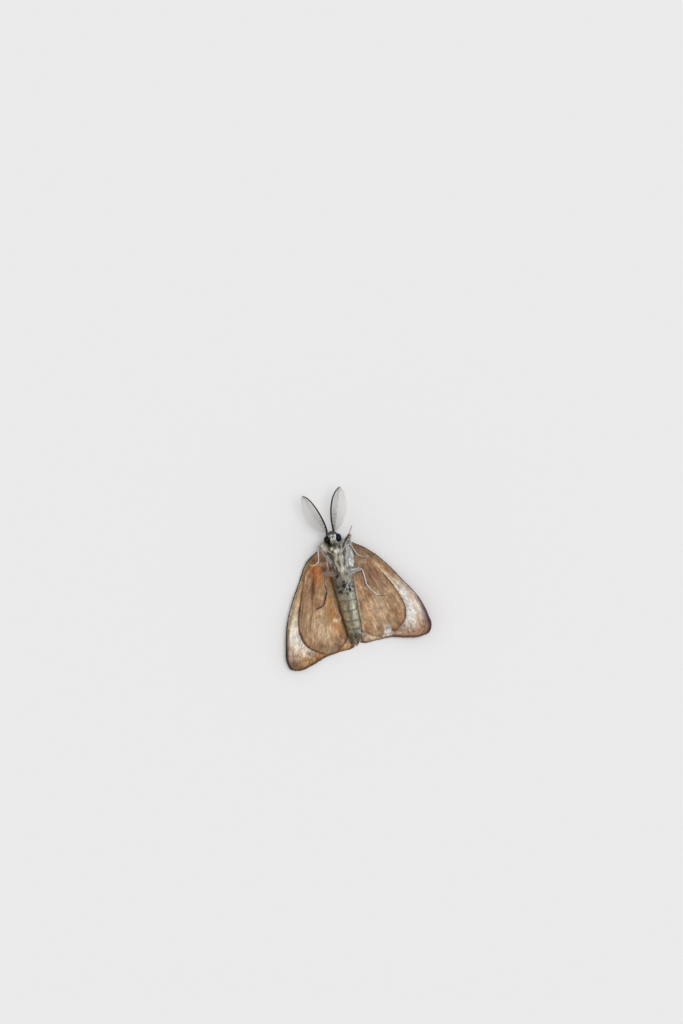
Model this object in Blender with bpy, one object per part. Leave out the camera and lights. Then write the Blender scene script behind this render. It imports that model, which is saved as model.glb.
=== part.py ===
"""Male spongy moth, life size, lying on its back with the wings half spread.

The moth's own directions are +Y towards the head, +Z towards the belly and +X towards its
left. It rests on flats at z = 0: the back of the thorax and the rear of both forewings.
Sizes below are in millimetres and become metres where a mesh is made.
"""
import math

import bmesh
import bpy
import numpy as np

MM = 0.001

# Driving sizes -------------------------------------------------------------------------

GAP = 0.1                       # clearance between two pieces that meet
BODY_CENTRE = (-0.232, -0.138)    # the body's own zero, as seen from the model's origin
PANE = 7.0                      # height of the plane that all six feet touch
WING_THICKNESS = 0.5
FEELER_THICKNESS = 0.5
FOOT_RADIUS = 0.25
WELD = 0.001                    # points closer than this are one point

# Stations of the trunk: place along Y, middle X, half width, lowest and highest Z.
THORAX = (
    (5.15, -0.30, 0.35, 2.35, 3.15),
    (4.95, -0.25, 1.00, 1.50, 3.80),
    (4.40, -0.15, 1.75, 0.60, 4.45),
    (3.40, -0.08, 2.15, -0.05, 4.90),
    (2.40, -0.03, 2.10, -0.22, 5.00),
    (1.20, 0.00, 1.90, 0.10, 4.90),
    (0.20, 0.00, 1.55, 0.85, 4.50),
    (-0.45, 0.00, 1.00, 1.45, 3.90),
    (-0.60, 0.00, 0.40, 2.10, 3.20),
)
ABDOMEN = (
    (0.60, 0.00, 0.90, 1.90, 3.90),
    (-0.40, -0.05, 1.30, 1.52, 4.35),
    (-1.60, -0.10, 1.43, 1.42, 4.55),
    (-3.20, -0.08, 1.36, 1.35, 4.45),
    (-5.20, -0.02, 1.20, 1.33, 4.05),
    (-7.20, -0.02, 1.04, 1.33, 3.60),
    (-8.60, -0.05, 0.88, 1.35, 3.15),
    (-9.50, -0.05, 0.66, 1.40, 2.75),
    (-10.05, -0.10, 0.40, 1.52, 2.40),
    (-10.35, -0.12, 0.12, 1.75, 2.05),
)

HEAD_CENTRE = (-0.40, 5.66, 3.10)
HEAD_RADII = (1.02, 0.98, 1.18)
EYE_OFFSET = (0.86, -0.16, 0.42)
EYE_RADII = (0.46, 0.54, 0.62)

# Wing outlines, one named mark at a time: the right wing's X and Y, then the left wing's.
FOREWING_HINGE = ((-1.8, 3.0), (1.8, 3.0))
FOREWING_MARKS = {
    "shoulder": ((-2.70, 4.25), (2.20, 4.40)),
    "costa_root": ((-4.60, 3.10), (4.00, 3.15)),
    "costa_inner": ((-6.65, 0.00), (6.20, 0.80)),
    "costa_middle": ((-8.35, -2.90), (8.20, -2.25)),
    "costa_outer": ((-9.65, -5.90), (9.95, -5.10)),
    "costa_tip": ((-10.40, -8.90), (10.95, -8.30)),
    "apex_front": ((-10.60, -11.00), (11.05, -9.80)),
    "apex": ((-10.15, -12.15), (10.40, -10.85)),
    "apex_rear": ((-9.20, -12.50), (9.00, -11.15)),
    "margin_outer": ((-7.00, -12.05), (7.00, -10.85)),
    "margin_middle": ((-5.00, -11.30), (5.00, -10.35)),
    "margin_inner": ((-3.00, -10.95), (2.90, -10.35)),
    "tornus": ((-0.70, -10.55), (0.70, -10.15)),
    "inner_rear": ((-0.20, -8.60), (0.20, -8.60)),
    "inner_front": ((-0.20, -3.00), (0.20, -3.00)),
    "root": ((-1.20, 1.10), (1.20, 1.10)),
}
HINDWING_HINGE = ((-1.6, 1.9), (1.6, 1.9))
HINDWING_MARKS = {
    "shoulder": ((-3.10, 2.45), (2.90, 2.55)),
    "costa_root": ((-4.60, 2.00), (4.00, 2.10)),
    "costa_inner": ((-5.95, -0.20), (5.35, -0.30)),
    "costa_middle": ((-6.95, -2.80), (6.55, -2.35)),
    "costa_outer": ((-7.70, -5.00), (7.45, -4.50)),
    "apex": ((-7.95, -7.10), (7.95, -6.60)),
    "apex_rear": ((-7.40, -9.10), (7.40, -8.45)),
    "margin_outer": ((-6.10, -10.30), (6.00, -9.50)),
    "margin_middle": ((-4.20, -10.98), (4.30, -9.55)),
    "margin_inner": ((-2.60, -10.50), (2.60, -9.40)),
    "tornus": ((-1.20, -9.20), (1.30, -8.80)),
    "inner_edge": ((-0.35, -6.50), (0.35, -6.50)),
    "root": ((-0.95, 0.10), (0.95, 0.10)),
}
WING_TILT = (0.17, 0.26)        # rise of the right and the left wings towards their tips
WING_FLAT = 3.0                 # the wings lie level this far out from the midline
ROOT_LIFT = 1.25                # rise of the wings at the hinge
ROOT_REACH = 2.8                # how far that rise spreads
ROOT_RADIUS = 0.2               # the wing plates start this far from their hinge
WING_CLEAR = 0.15               # and keep this far from the midline
HINDWING_ABOVE = 0.72           # the hindwing lies this far over the forewing

# Feelers: the shaft's joints, and the comb along it.
FEELER_SHAFTS = (
    ((-1.02, 6.20, 3.10), (-1.00, 7.50, 3.55), (-1.30, 9.00, 3.90),
     (-2.05, 11.00, 4.20), (-3.38, 12.30, 4.35)),
    ((-0.05, 6.20, 3.10), (-0.02, 7.50, 3.55), (0.10, 9.00, 3.90),
     (0.62, 11.00, 4.20), (2.10, 12.62, 4.35)),
)
COMB_LENGTH = 2.4                   # longest teeth of the comb
COMB_PEAK = 0.8                     # below 1 puts the longest teeth nearer the head
COMB_FULLNESS = 0.75                # below 1 rounds the comb's outline out
COMB_LEAST = 0.3
COMB_SLANT = (-5.0, 32.0, 20.0)     # degrees towards the tip, at the root, middle and tip
COMB_RAISED = (0.36, 0.93)          # outward and upward parts of the raised row

# Legs: X, Y, Z and radius at the hip, thigh, knee, ankle and along the foot.
LEGS = {
    "leg_fore_left": (
        (0.35, 3.00, 4.60, 0.36), (0.72, 3.90, 5.65, 0.36), (1.25, 4.75, 6.20, 0.32),
        (2.05, 5.65, 6.60, 0.32), (2.32, 6.10, 6.72, 0.28), (2.66, 6.70, 6.75, 0.25)),
    "leg_fore_right": (
        (-0.50, 3.00, 4.60, 0.36), (-0.95, 3.85, 5.55, 0.36), (-1.50, 4.45, 6.10, 0.32),
        (-2.15, 4.78, 6.60, 0.28), (-2.60, 4.95, 6.75, 0.25), (-2.85, 5.25, 6.75, 0.25)),
    "leg_mid_left": (
        (0.72, 1.00, 4.55, 0.36), (1.18, 2.75, 5.25, 0.36), (1.70, 4.65, 5.45, 0.30),
        (2.68, 2.35, 6.60, 0.28), (4.00, 1.75, 6.75, 0.25), (5.15, 2.20, 6.75, 0.25)),
    "leg_mid_right": (
        (-0.72, 1.10, 4.55, 0.36), (-1.65, 2.85, 5.25, 0.36), (-2.65, 4.85, 5.65, 0.30),
        (-3.05, 2.50, 6.60, 0.28), (-4.15, 2.20, 6.75, 0.25), (-4.68, 3.05, 6.75, 0.25)),
    "leg_hind_left": (
        (0.55, 0.25, 4.10, 0.36), (1.45, 0.30, 5.05, 0.36), (2.85, 0.55, 5.55, 0.32),
        (3.02, -2.10, 6.50, 0.30), (4.15, -3.75, 6.75, 0.25), (5.45, -4.05, 6.75, 0.25)),
    "leg_hind_right": (
        (-0.60, 0.25, 4.10, 0.36), (-1.60, 0.50, 5.00, 0.36), (-3.10, 0.95, 5.45, 0.32),
        (-2.72, -1.70, 6.50, 0.30), (-3.60, -3.65, 6.75, 0.25), (-4.82, -3.95, 6.75, 0.25)),
}

# Colour (linear red, green, blue) and roughness of each finish.
FINISHES = {
    "belly_fur": ((0.36, 0.34, 0.29), 0.85),
    "abdomen_fur": ((0.26, 0.25, 0.19), 0.80),
    "face_fur": ((0.26, 0.27, 0.27), 0.85),
    "eye": ((0.01, 0.01, 0.02), 0.15),
    "feeler": ((0.30, 0.27, 0.24), 0.70),
    "forewing": ((0.42, 0.32, 0.22), 0.75),
    "hindwing": ((0.36, 0.23, 0.13), 0.75),
    "leg": ((0.38, 0.33, 0.28), 0.75),
}


# Tools ---------------------------------------------------------------------------------

def start_empty():
    """Remove the objects of the open scene."""
    for thing in list(bpy.data.objects):
        bpy.data.objects.remove(thing, do_unlink=True)


def new_collection(name):
    """A collection of that name under the scene's own."""
    group = bpy.data.collections.new(name)
    bpy.context.scene.collection.children.link(group)
    return group


def finish(name):
    """A Principled material from the table of finishes."""
    colour, roughness = FINISHES[name]
    paint = bpy.data.materials.get(name) or bpy.data.materials.new(name)
    paint.use_nodes = True
    shader = paint.node_tree.nodes["Principled BSDF"]
    shader.inputs["Base Color"].default_value = (*colour, 1.0)
    shader.inputs["Roughness"].default_value = roughness
    shader.inputs["Metallic"].default_value = 0.0
    paint.diffuse_color = (*colour, 1.0)
    return paint


def smooth_rows(rows, count):
    """Even samples of a smooth curve through the rows, whatever their columns.

    The curve is a cubic between neighbouring rows, with tangents taken from the rows on
    either side, and it is sampled evenly along its chord length.
    """
    rows = np.asarray(rows, dtype=float)
    steps = np.linalg.norm(np.diff(rows[:, :2], axis=0), axis=1)
    along = np.concatenate([[0.0], np.cumsum(steps)])
    slopes = np.gradient(rows, along, axis=0)
    wanted = np.linspace(0.0, along[-1], count)
    index = np.clip(np.searchsorted(along, wanted, side="right") - 1, 0, len(rows) - 2)
    width = (along[index + 1] - along[index])[:, None]
    t = ((wanted - along[index])[:, None]) / width
    return ((2 * t**3 - 3 * t**2 + 1) * rows[index]
            + (t**3 - 2 * t**2 + t) * width * slopes[index]
            + (3 * t**2 - 2 * t**3) * rows[index + 1]
            + (t**3 - t**2) * width * slopes[index + 1])


def make_mesh_object(name, points, faces, group, paint):
    """A mesh object from points in the body's millimetres."""
    places = np.asarray(points, dtype=float) + (*BODY_CENTRE, 0.0)
    mesh = bpy.data.meshes.new(name)
    mesh.from_pydata((places * MM).tolist(), [], faces)
    mesh.materials.append(finish(paint))
    piece = bpy.data.objects.new(name, mesh)
    group.objects.link(piece)
    face_out(mesh)
    mesh.shade_smooth()
    return piece


def face_out(mesh):
    """Turn the faces of a mesh to point outwards."""
    work = bmesh.new()
    work.from_mesh(mesh)
    bmesh.ops.recalc_face_normals(work, faces=work.faces)
    work.to_mesh(mesh)
    work.free()


def loft(name, rings, group, paint):
    """A closed body through rings of equal numbers of points, with flat ends."""
    rings = np.asarray(rings)
    count, around = rings.shape[:2]
    faces = [tuple(range(around)), tuple(range((count - 1) * around, count * around))]
    for ring in range(count - 1):
        for side in range(around):
            after = (side + 1) % around
            low, high = ring * around, (ring + 1) * around
            faces.append((low + side, low + after, high + after, high + side))
    return make_mesh_object(name, rings.reshape(-1, 3), faces, group, paint)


def make_cutter(piece):
    """Show a cutter as wire and keep it out of the model."""
    piece.hide_render = True
    piece.display_type = "WIRE"
    return piece


def cut(piece, *cutters):
    """Take each cutter out of the piece."""
    for cutter in cutters:
        trim = piece.modifiers.new("clear_of_" + cutter.name, "BOOLEAN")
        trim.operation = "DIFFERENCE"
        trim.solver = "EXACT"
        trim.object = cutter


# Trunk ---------------------------------------------------------------------------------

def trunk_rings(stations, count, around, grow=0.0):
    """Rounded-square rings through the stations, grown on every side."""
    turn = np.linspace(0.0, 2 * math.pi, around, endpoint=False)
    across = np.sign(np.cos(turn)) * np.abs(np.cos(turn)) ** 0.92
    upward = np.sign(np.sin(turn)) * np.abs(np.sin(turn)) ** 0.92
    rings = []
    rows = smooth_rows(stations, count)
    rows[0, 0] += grow
    rows[-1, 0] -= grow
    for y, middle, half_width, low, high in rows:
        x = middle + (half_width + grow) * across
        z = (low + high) / 2 + ((high - low) / 2 + grow) * upward
        rings.append(np.stack([x, np.full(around, y), z], axis=1))
    return np.array(rings)


def make_trunk(group, cutters):
    """Thorax and abdomen, with the thorax flat where it rests on the floor."""
    rings = trunk_rings(THORAX, 15, 24)
    rings[:, :, 2] = np.maximum(rings[:, :, 2], 0.0)
    thorax = loft("thorax", rings, group, "belly_fur")
    around_thorax = make_cutter(loft(
        "around_thorax", trunk_rings(THORAX, 15, 24, GAP), cutters, "belly_fur"))
    abdomen = loft("abdomen", trunk_rings(ABDOMEN, 18, 20), group, "abdomen_fur")
    around_abdomen = make_cutter(loft(
        "around_abdomen", trunk_rings(ABDOMEN, 18, 20, GAP), cutters, "abdomen_fur"))
    cut(abdomen, around_thorax)
    return thorax, abdomen, around_thorax, around_abdomen


# Head ----------------------------------------------------------------------------------

def ellipsoid(name, centre, radii, segments, group, paint):
    """An ellipsoid from a sphere primitive, with its poles front and rear."""
    work = bmesh.new()
    bmesh.ops.create_uvsphere(work, u_segments=segments, v_segments=segments // 2, radius=1.0)
    points = np.array([corner.co for corner in work.verts])
    faces = [tuple(corner.index for corner in face.verts) for face in work.faces]
    work.free()
    turned = points[:, [0, 2, 1]]
    return make_mesh_object(name, turned * radii + centre, faces, group, paint)


def make_head(group, cutters, around_thorax):
    """Head with a socket for each eye."""
    head = ellipsoid("head", HEAD_CENTRE, HEAD_RADII, 24, group, "face_fur")
    around_head = make_cutter(ellipsoid(
        "around_head", HEAD_CENTRE, np.add(HEAD_RADII, GAP), 24, cutters, "face_fur"))
    cut(head, around_thorax)
    for side, name in ((1, "left"), (-1, "right")):
        centre = np.add(HEAD_CENTRE, np.multiply(EYE_OFFSET, (side, 1, 1)))
        ellipsoid("eye_" + name, centre, EYE_RADII, 16, group, "eye")
        cut(head, make_cutter(ellipsoid(
            "socket_" + name, centre, np.add(EYE_RADII, GAP), 16, cutters, "face_fur")))
    return around_head


# Wings ---------------------------------------------------------------------------------

def wing_height(x, y, tilt):
    """Height of the middle of a forewing: level near the midline, rising to the tip."""
    outward = np.abs(x) - WING_FLAT
    rise = tilt * (np.sqrt(outward**2 + 1.0) + outward) / 2
    from_hinge = np.hypot(np.abs(x) - abs(FOREWING_HINGE[0][0]), y - FOREWING_HINGE[0][1])
    lift = ROOT_LIFT * np.exp(-(from_hinge / ROOT_REACH) ** 2)
    rest = WING_THICKNESS / 2
    return np.maximum(rest, rest - 0.06 + rise + lift)


def make_wing(name, marks, hinge, side, above, count, rings, group, paint):
    """A thin plate spread like a fan from the hinge to the wing's outline.

    Its two sides are the same height field, half the thickness down and up, so that the
    plate never folds through itself at the narrow root.
    """
    outline = smooth_rows([mark[side] for mark in marks.values()], count)
    outward = np.sign(hinge[side][0])
    outline[:, 0] = outward * np.maximum(outward * outline[:, 0], WING_CLEAR)
    spokes = outline - hinge[side]
    root = ROOT_RADIUS * spokes / np.linalg.norm(spokes, axis=1)[:, None]
    reach = np.linspace(0.0, 1.0, rings)[:, None, None]
    flat = np.array(hinge[side]) + root + reach * (spokes - root)
    middle = wing_height(flat[..., 0], flat[..., 1], WING_TILT[side]) + above
    half = WING_THICKNESS / 2
    sides = [np.dstack([flat, middle - half]), np.dstack([flat, middle + half])]
    below = rings * count
    faces = []
    for ring in range(rings - 1):
        for step in range(count - 1):
            corner = ring * count + step
            quad = (corner, corner + 1, corner + count + 1, corner + count)
            faces.append(quad)
            faces.append(tuple(below + index for index in reversed(quad)))
    rim = [*range(count),
           *range(2 * count - 1, below, count),
           *range(below - 2, below - count - 1, -1),
           *range(below - 2 * count, 0, -count)]
    for here, there in zip(rim, rim[1:] + rim[:1]):
        faces.append((there, here, below + here, below + there))
    return make_mesh_object(name, np.concatenate(sides).reshape(-1, 3), faces, group, paint)


def make_wings(group, around_thorax, around_abdomen):
    """Both pairs of wings, the hindwings over the forewings."""
    for side, name in enumerate(("right", "left")):
        fore = make_wing("forewing_" + name, FOREWING_MARKS, FOREWING_HINGE, side, 0.0,
                         42, 7, group, "forewing")
        hind = make_wing("hindwing_" + name, HINDWING_MARKS, HINDWING_HINGE, side,
                         HINDWING_ABOVE, 34, 6, group, "hindwing")
        cut(fore, around_thorax)
        cut(hind, around_thorax, around_abdomen)


# Feelers -------------------------------------------------------------------------------

def feeler_rings(shaft, outward, count):
    """Angle-shaped rings: one row of the comb out to the side, one raised to the belly.

    Each row follows its teeth, which slant from square to the shaft towards its tip.
    """
    path = smooth_rows(shaft, count)
    tangent = np.gradient(path, axis=0)
    tangent /= np.linalg.norm(tangent, axis=1)[:, None]
    share = np.linspace(0.0, 1.0, count)
    swell = np.maximum(np.sin(math.pi * share**COMB_PEAK), 0.0) ** COMB_FULLNESS
    reach = np.maximum(COMB_LENGTH * swell, COMB_LEAST)
    slant = np.radians(np.interp(share, (0.0, 0.5, 1.0), COMB_SLANT))
    half = FEELER_THICKNESS / 2
    rings = []
    for place, along, long, lean in zip(path, tangent, reach, slant):
        square = np.array([along[1], -along[0], 0.0]) * outward
        level = square * math.cos(lean) + along * math.sin(lean)
        raised = level * COMB_RAISED[0] + np.array([0.0, 0.0, COMB_RAISED[1]])
        rings.append([
            place - half * level - half * raised,
            place + long * level - half * raised,
            place + long * level + half * raised,
            place + half * level + half * raised,
            place + half * level + long * raised,
            place - half * level + long * raised,
        ])
    return rings


def make_feelers(group, around_head):
    """The two combed feelers."""
    for side, name in ((-1, "right"), (1, "left")):
        shaft = FEELER_SHAFTS[(side + 1) // 2]
        feeler = loft("antenna_" + name, feeler_rings(shaft, side, 24), group, "feeler")
        cut(feeler, around_head)


# Legs ----------------------------------------------------------------------------------

def bent_path(joints, trim=0.8, steps=5):
    """The joints' path with each bend rounded by a circular arc.

    An arc is a rational quadratic curve from one side of the joint to the other, whose
    middle point weighs the sine of half the angle between the two sides.
    """
    joints = np.asarray(joints, dtype=float)
    path = [joints[0]]
    for before, joint, after in zip(joints, joints[1:], joints[2:]):
        lengths = [np.linalg.norm(other[:3] - joint[:3]) for other in (before, after)]
        reach = min(trim, 0.45 * min(lengths))
        start = joint + (before - joint) * reach / lengths[0]
        end = joint + (after - joint) * reach / lengths[1]
        weight = np.linalg.norm(end[:3] - start[:3]) / (2 * reach)
        for t in np.linspace(0.0, 1.0, steps):
            pull = 2 * t * (1 - t) * weight
            share = (1 - t)**2 + pull + t**2
            path.append(((1 - t)**2 * start + pull * joint + t**2 * end) / share)
    path.append(joints[-1])
    return path


def make_leg(name, joints, group, around_thorax):
    """A leg swept along its joints, as one closed tube, cut where it leaves the body."""
    path = bent_path(joints)
    sweep = bpy.data.curves.new(name + "_sweep", "CURVE")
    sweep.dimensions = "3D"
    sweep.bevel_depth = MM
    sweep.bevel_resolution = 2
    sweep.use_fill_caps = True
    line = sweep.splines.new("POLY")
    line.points.add(len(path) - 1)
    for point, (x, y, z, radius) in zip(line.points, path):
        place = np.array([x + BODY_CENTRE[0], y + BODY_CENTRE[1], z]) * MM
        point.co = (*place, 1.0)
        point.radius = radius
    guide = bpy.data.objects.new(name + "_sweep", sweep)
    group.objects.link(guide)
    ready = guide.evaluated_get(bpy.context.evaluated_depsgraph_get())
    mesh = bpy.data.meshes.new_from_object(ready)
    bpy.data.objects.remove(guide, do_unlink=True)
    work = bmesh.new()
    work.from_mesh(mesh)
    bmesh.ops.remove_doubles(work, verts=work.verts, dist=WELD * MM)
    bmesh.ops.recalc_face_normals(work, faces=work.faces)
    work.to_mesh(mesh)
    work.free()
    mesh.materials.clear()
    mesh.materials.append(finish("leg"))
    mesh.shade_smooth()
    leg = bpy.data.objects.new(name, mesh)
    group.objects.link(leg)
    cut(leg, around_thorax)


# The moth ------------------------------------------------------------------------------

start_empty()
moth = new_collection("moth")
cutters = new_collection("cutters")
thorax, abdomen, around_thorax, around_abdomen = make_trunk(moth, cutters)
around_head = make_head(moth, cutters, around_thorax)
make_wings(moth, around_thorax, around_abdomen)
make_feelers(moth, around_head)
for leg_name, leg_joints in LEGS.items():
    make_leg(leg_name, leg_joints, moth, around_thorax)
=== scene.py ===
"""Looks of a life-size male spongy moth that lies on its back, belly up, wings half spread.

Lengths are in millimetres of the body's own frame: u towards the moth's left, v towards its
head, z up towards its belly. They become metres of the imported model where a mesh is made.
Colours are written as the 0 to 255 values that a paint chart gives.
"""
import math

import bmesh
import bpy
import numpy as np
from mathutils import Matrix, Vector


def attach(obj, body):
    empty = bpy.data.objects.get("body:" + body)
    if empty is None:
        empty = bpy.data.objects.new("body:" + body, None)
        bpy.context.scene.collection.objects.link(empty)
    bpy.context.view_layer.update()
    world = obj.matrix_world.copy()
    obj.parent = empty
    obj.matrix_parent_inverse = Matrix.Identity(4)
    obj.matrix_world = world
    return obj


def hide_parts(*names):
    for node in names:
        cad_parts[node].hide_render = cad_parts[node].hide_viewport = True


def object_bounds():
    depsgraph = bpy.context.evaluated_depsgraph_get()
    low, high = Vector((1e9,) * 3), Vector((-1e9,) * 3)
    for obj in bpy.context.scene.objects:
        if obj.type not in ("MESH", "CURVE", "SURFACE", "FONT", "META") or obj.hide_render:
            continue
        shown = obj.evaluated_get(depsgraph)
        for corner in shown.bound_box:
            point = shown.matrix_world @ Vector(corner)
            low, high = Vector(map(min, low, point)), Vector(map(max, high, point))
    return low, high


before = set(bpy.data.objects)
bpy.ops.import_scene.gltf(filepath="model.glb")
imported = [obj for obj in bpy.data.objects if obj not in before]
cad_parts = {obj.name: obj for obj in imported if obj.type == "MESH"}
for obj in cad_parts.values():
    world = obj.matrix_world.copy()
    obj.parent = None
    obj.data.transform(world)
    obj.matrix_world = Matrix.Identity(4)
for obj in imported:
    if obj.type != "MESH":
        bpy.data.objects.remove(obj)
cad_low, cad_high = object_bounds()


# ---- Floor, light and camera ------------------------------------------------------------
# A wide sheet of pale card under even studio light, with one soft lamp from the right.
# The camera stands above and looks straight down, with the moth turned a little.

MM = 0.001
BODY_ZERO = ((cad_low.x + cad_high.x) / 2 / MM - 0.232,
             (cad_low.y + cad_high.y) / 2 / MM - 0.138,
             cad_low.z / MM)
FLOOR_HALF = 1500.0
FLOOR_TINT = (207, 206, 206)
SKY_STRENGTH = 0.72
LAMP_STRENGTH = 1.93
LAMP_ELEVATION = 80.0
LAMP_AZIMUTH = 12.0                 # degrees from the moth's left towards its head
LAMP_SPREAD = 30.0
LENS = 85.0
CAMERA_PLACE = (1.435, 8.846, 353.6)
CAMERA_TURN = -11.9


def paint(tint):
    """A chart colour as linear light: the standard curve for screens, undone."""
    share = np.asarray(tint, dtype=float) / 255.0
    return np.where(share <= 0.04045, share / 12.92, ((share + 0.055) / 1.055) ** 2.4)


def to_model(points):
    """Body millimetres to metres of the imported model."""
    return (np.asarray(points, dtype=float) + BODY_ZERO) * MM


class Wire:
    """A number socket that takes arithmetic: every operator adds one Math node."""

    def __init__(self, finish, socket):
        self.finish = finish
        self.socket = socket

    def math(self, operation, *terms):
        return self.finish.node("Math", {"operation": operation}, dict(enumerate(terms)))

    def __add__(self, other):
        return self.math("ADD", self, other)

    def __sub__(self, other):
        return self.math("SUBTRACT", self, other)

    def __rsub__(self, other):
        return self.math("SUBTRACT", other, self)

    def __mul__(self, other):
        return self.math("MULTIPLY", self, other)

    __radd__ = __add__
    __rmul__ = __mul__


class Finish:
    """A material under construction, with one Principled shader at its end."""

    def __init__(self, name, **constants):
        self.material = bpy.data.materials.new(name)
        self.material.use_nodes = True
        self.tree = self.material.node_tree
        self.shader = self.tree.nodes["Principled BSDF"]
        for key, value in constants.items():
            self.feed(self.input(key), value)

    def input(self, key):
        """A socket of the shader from its name in small letters."""
        return self.shader.inputs[key.replace("_", " ").title().replace("Ior", "IOR")]

    def feed(self, socket, value):
        """Link a wire to a socket, or set the socket's own value."""
        if isinstance(value, Wire):
            self.tree.links.new(value.socket, socket)
        elif socket.type == "RGBA":
            socket.default_value = (*value, 1.0)
        else:
            socket.default_value = value

    def node(self, kind, settings, values, output=0):
        """Add one node: its settings first, then the values or links of its sockets."""
        made = self.tree.nodes.new("ShaderNode" + kind)
        for key, value in settings.items():
            setattr(made, key, value)
        for key, value in values.items():
            self.feed(made.inputs[key], value)
        return Wire(self, made.outputs[output])

    def place(self):
        """The surface's own place, in metres."""
        return self.node("TexCoord", {}, {}, "Object")

    def noise(self, size_mm, stretch=(1, 1, 1), detail=2.0, rough=0.6):
        """Soft random values of about that size, drawn out along some axes."""
        drawn = self.node("Mapping", {}, {"Vector": self.place(), "Scale": stretch})
        values = {"Vector": drawn, "Scale": 1.0 / (size_mm * MM), "Detail": detail,
                  "Roughness": rough}
        return self.node("TexNoise", {}, values, "Fac")

    def marks(self):
        """The colour that the piece carries on its points."""
        return self.node("Attribute", {"attribute_name": "marks"}, {}, "Color")

    def shade(self, colour, factor):
        """A colour made darker or lighter by a factor."""
        return self.node("VectorMath", {"operation": "SCALE"}, {0: colour, "Scale": factor})

    def bump(self, height, depth_mm, strength=1.0):
        """A bumped normal from a height between 0 and 1."""
        values = {"Height": height, "Distance": depth_mm * MM, "Strength": strength}
        return self.node("Bump", {}, values)

    def end(self, **inputs):
        """Feed what changes over the surface and give the material."""
        for key, value in inputs.items():
            self.feed(self.input(key), value)
        return self.material


def make_mesh(name, points, faces, material, marks=None, patches=None):
    """A mesh object from points, arrays of faces, point colours and bake places.

    The faces are turned over as a whole if the volume that they enclose is negative.
    """
    places = to_model(points)
    faces = [np.asarray(part, dtype=np.int64) for part in faces if len(part)]
    volume = 0.0
    for part in faces:
        for second in range(1, part.shape[1] - 1):
            first, middle, last = (places[part[:, k]] for k in (0, second, second + 1))
            volume += np.einsum("ij,ij->", first, np.cross(middle, last))
    if volume < 0:
        faces = [part[:, ::-1] for part in faces]
    corners = np.concatenate([part.ravel() for part in faces])
    sizes = np.concatenate([np.full(len(part), part.shape[1]) for part in faces])
    mesh = bpy.data.meshes.new(name)
    mesh.vertices.add(len(places))
    mesh.vertices.foreach_set("co", places.astype(np.float32).ravel())
    mesh.loops.add(len(corners))
    mesh.loops.foreach_set("vertex_index", corners.astype(np.int32))
    mesh.polygons.add(len(sizes))
    mesh.polygons.foreach_set("loop_start", (np.cumsum(sizes) - sizes).astype(np.int32))
    mesh.update(calc_edges=True)
    mesh.shade_smooth()
    mesh.materials.append(material)
    if marks is not None:
        layer = mesh.color_attributes.new("marks", "FLOAT_COLOR", "POINT")
        rgba = np.concatenate([marks, np.ones((len(marks), 1))], axis=1)
        layer.data.foreach_set("color", rgba.astype(np.float32).ravel())
    if patches is not None:
        layer = mesh.uv_layers.new(name="OFBake")
        layer.data.foreach_set("uv", patches[corners].astype(np.float32).ravel())
    piece = bpy.data.objects.new(name, mesh)
    bpy.context.scene.collection.objects.link(piece)
    return piece


card = Finish("studio_card", roughness=0.9, base_color=paint(FLOOR_TINT))
card_grain = card.noise(0.8, detail=3.0)
floor_corners = np.array([(-1, -1, 0), (1, -1, 0), (1, 1, 0), (-1, 1, 0)]) * FLOOR_HALF
floor = make_mesh("floor", floor_corners, [[(0, 1, 2, 3)]],
                  card.end(normal=card.bump(card_grain, 0.01, 0.2)))

sky = bpy.data.worlds.new("studio")
sky.use_nodes = True
sky.node_tree.nodes["Background"].inputs["Color"].default_value = (1.0, 1.0, 1.0, 1.0)
sky.node_tree.nodes["Background"].inputs["Strength"].default_value = SKY_STRENGTH
bpy.context.scene.world = sky

lamp = bpy.data.objects.new("soft_lamp", bpy.data.lights.new("soft_lamp", "SUN"))
lamp.data.energy = LAMP_STRENGTH
lamp.data.angle = math.radians(LAMP_SPREAD)
lamp.rotation_euler = (0.0, math.radians(90.0 - LAMP_ELEVATION), math.radians(LAMP_AZIMUTH))
bpy.context.scene.collection.objects.link(lamp)

camera = bpy.data.objects.new("camera", bpy.data.cameras.new("camera"))
camera.data.lens = LENS
camera.data.clip_start = 0.01
camera.data.clip_end = 20.0
camera.location = [place * MM for place in CAMERA_PLACE]
camera.rotation_euler = (0.0, 0.0, math.radians(CAMERA_TURN))
bpy.context.scene.collection.objects.link(camera)
bpy.context.scene.camera = camera
bpy.context.scene.view_settings.view_transform = "Standard"


# ---- Wing membranes ---------------------------------------------------------------------
# Four stiff films about a tenth of a millimetre thick, held open by branching veins and
# hinged to the thorax. The hindwings lie over the forewings, as seen from the belly.

WING_CLEAR = 0.15                   # the wings keep this far from the midline
WING_TILT = (0.17, 0.26)            # rise of the right and the left wings to their tips
WING_FLAT = 3.0
WING_REST = 0.25
ROOT_LIFT = 1.25
ROOT_REACH = 2.8
LIFT_CENTRE = (1.8, 3.0)
ROOT_WIDTH = 3.5                    # rough width at the root, and how much it grows
WIDENING = 8.0
WING_REACH = 12.0
FILM_HALF = 0.035
VEIN_RISE = 0.045
VEIN_HALF = 0.085
PLEAT_DEPTH = 0.07
GRID_ALONG = 170
GRID_ACROSS = 130
SIDES = ("right", "left")
FILM_END = 0.98                     # the film stops here and the fringe goes on

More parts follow.
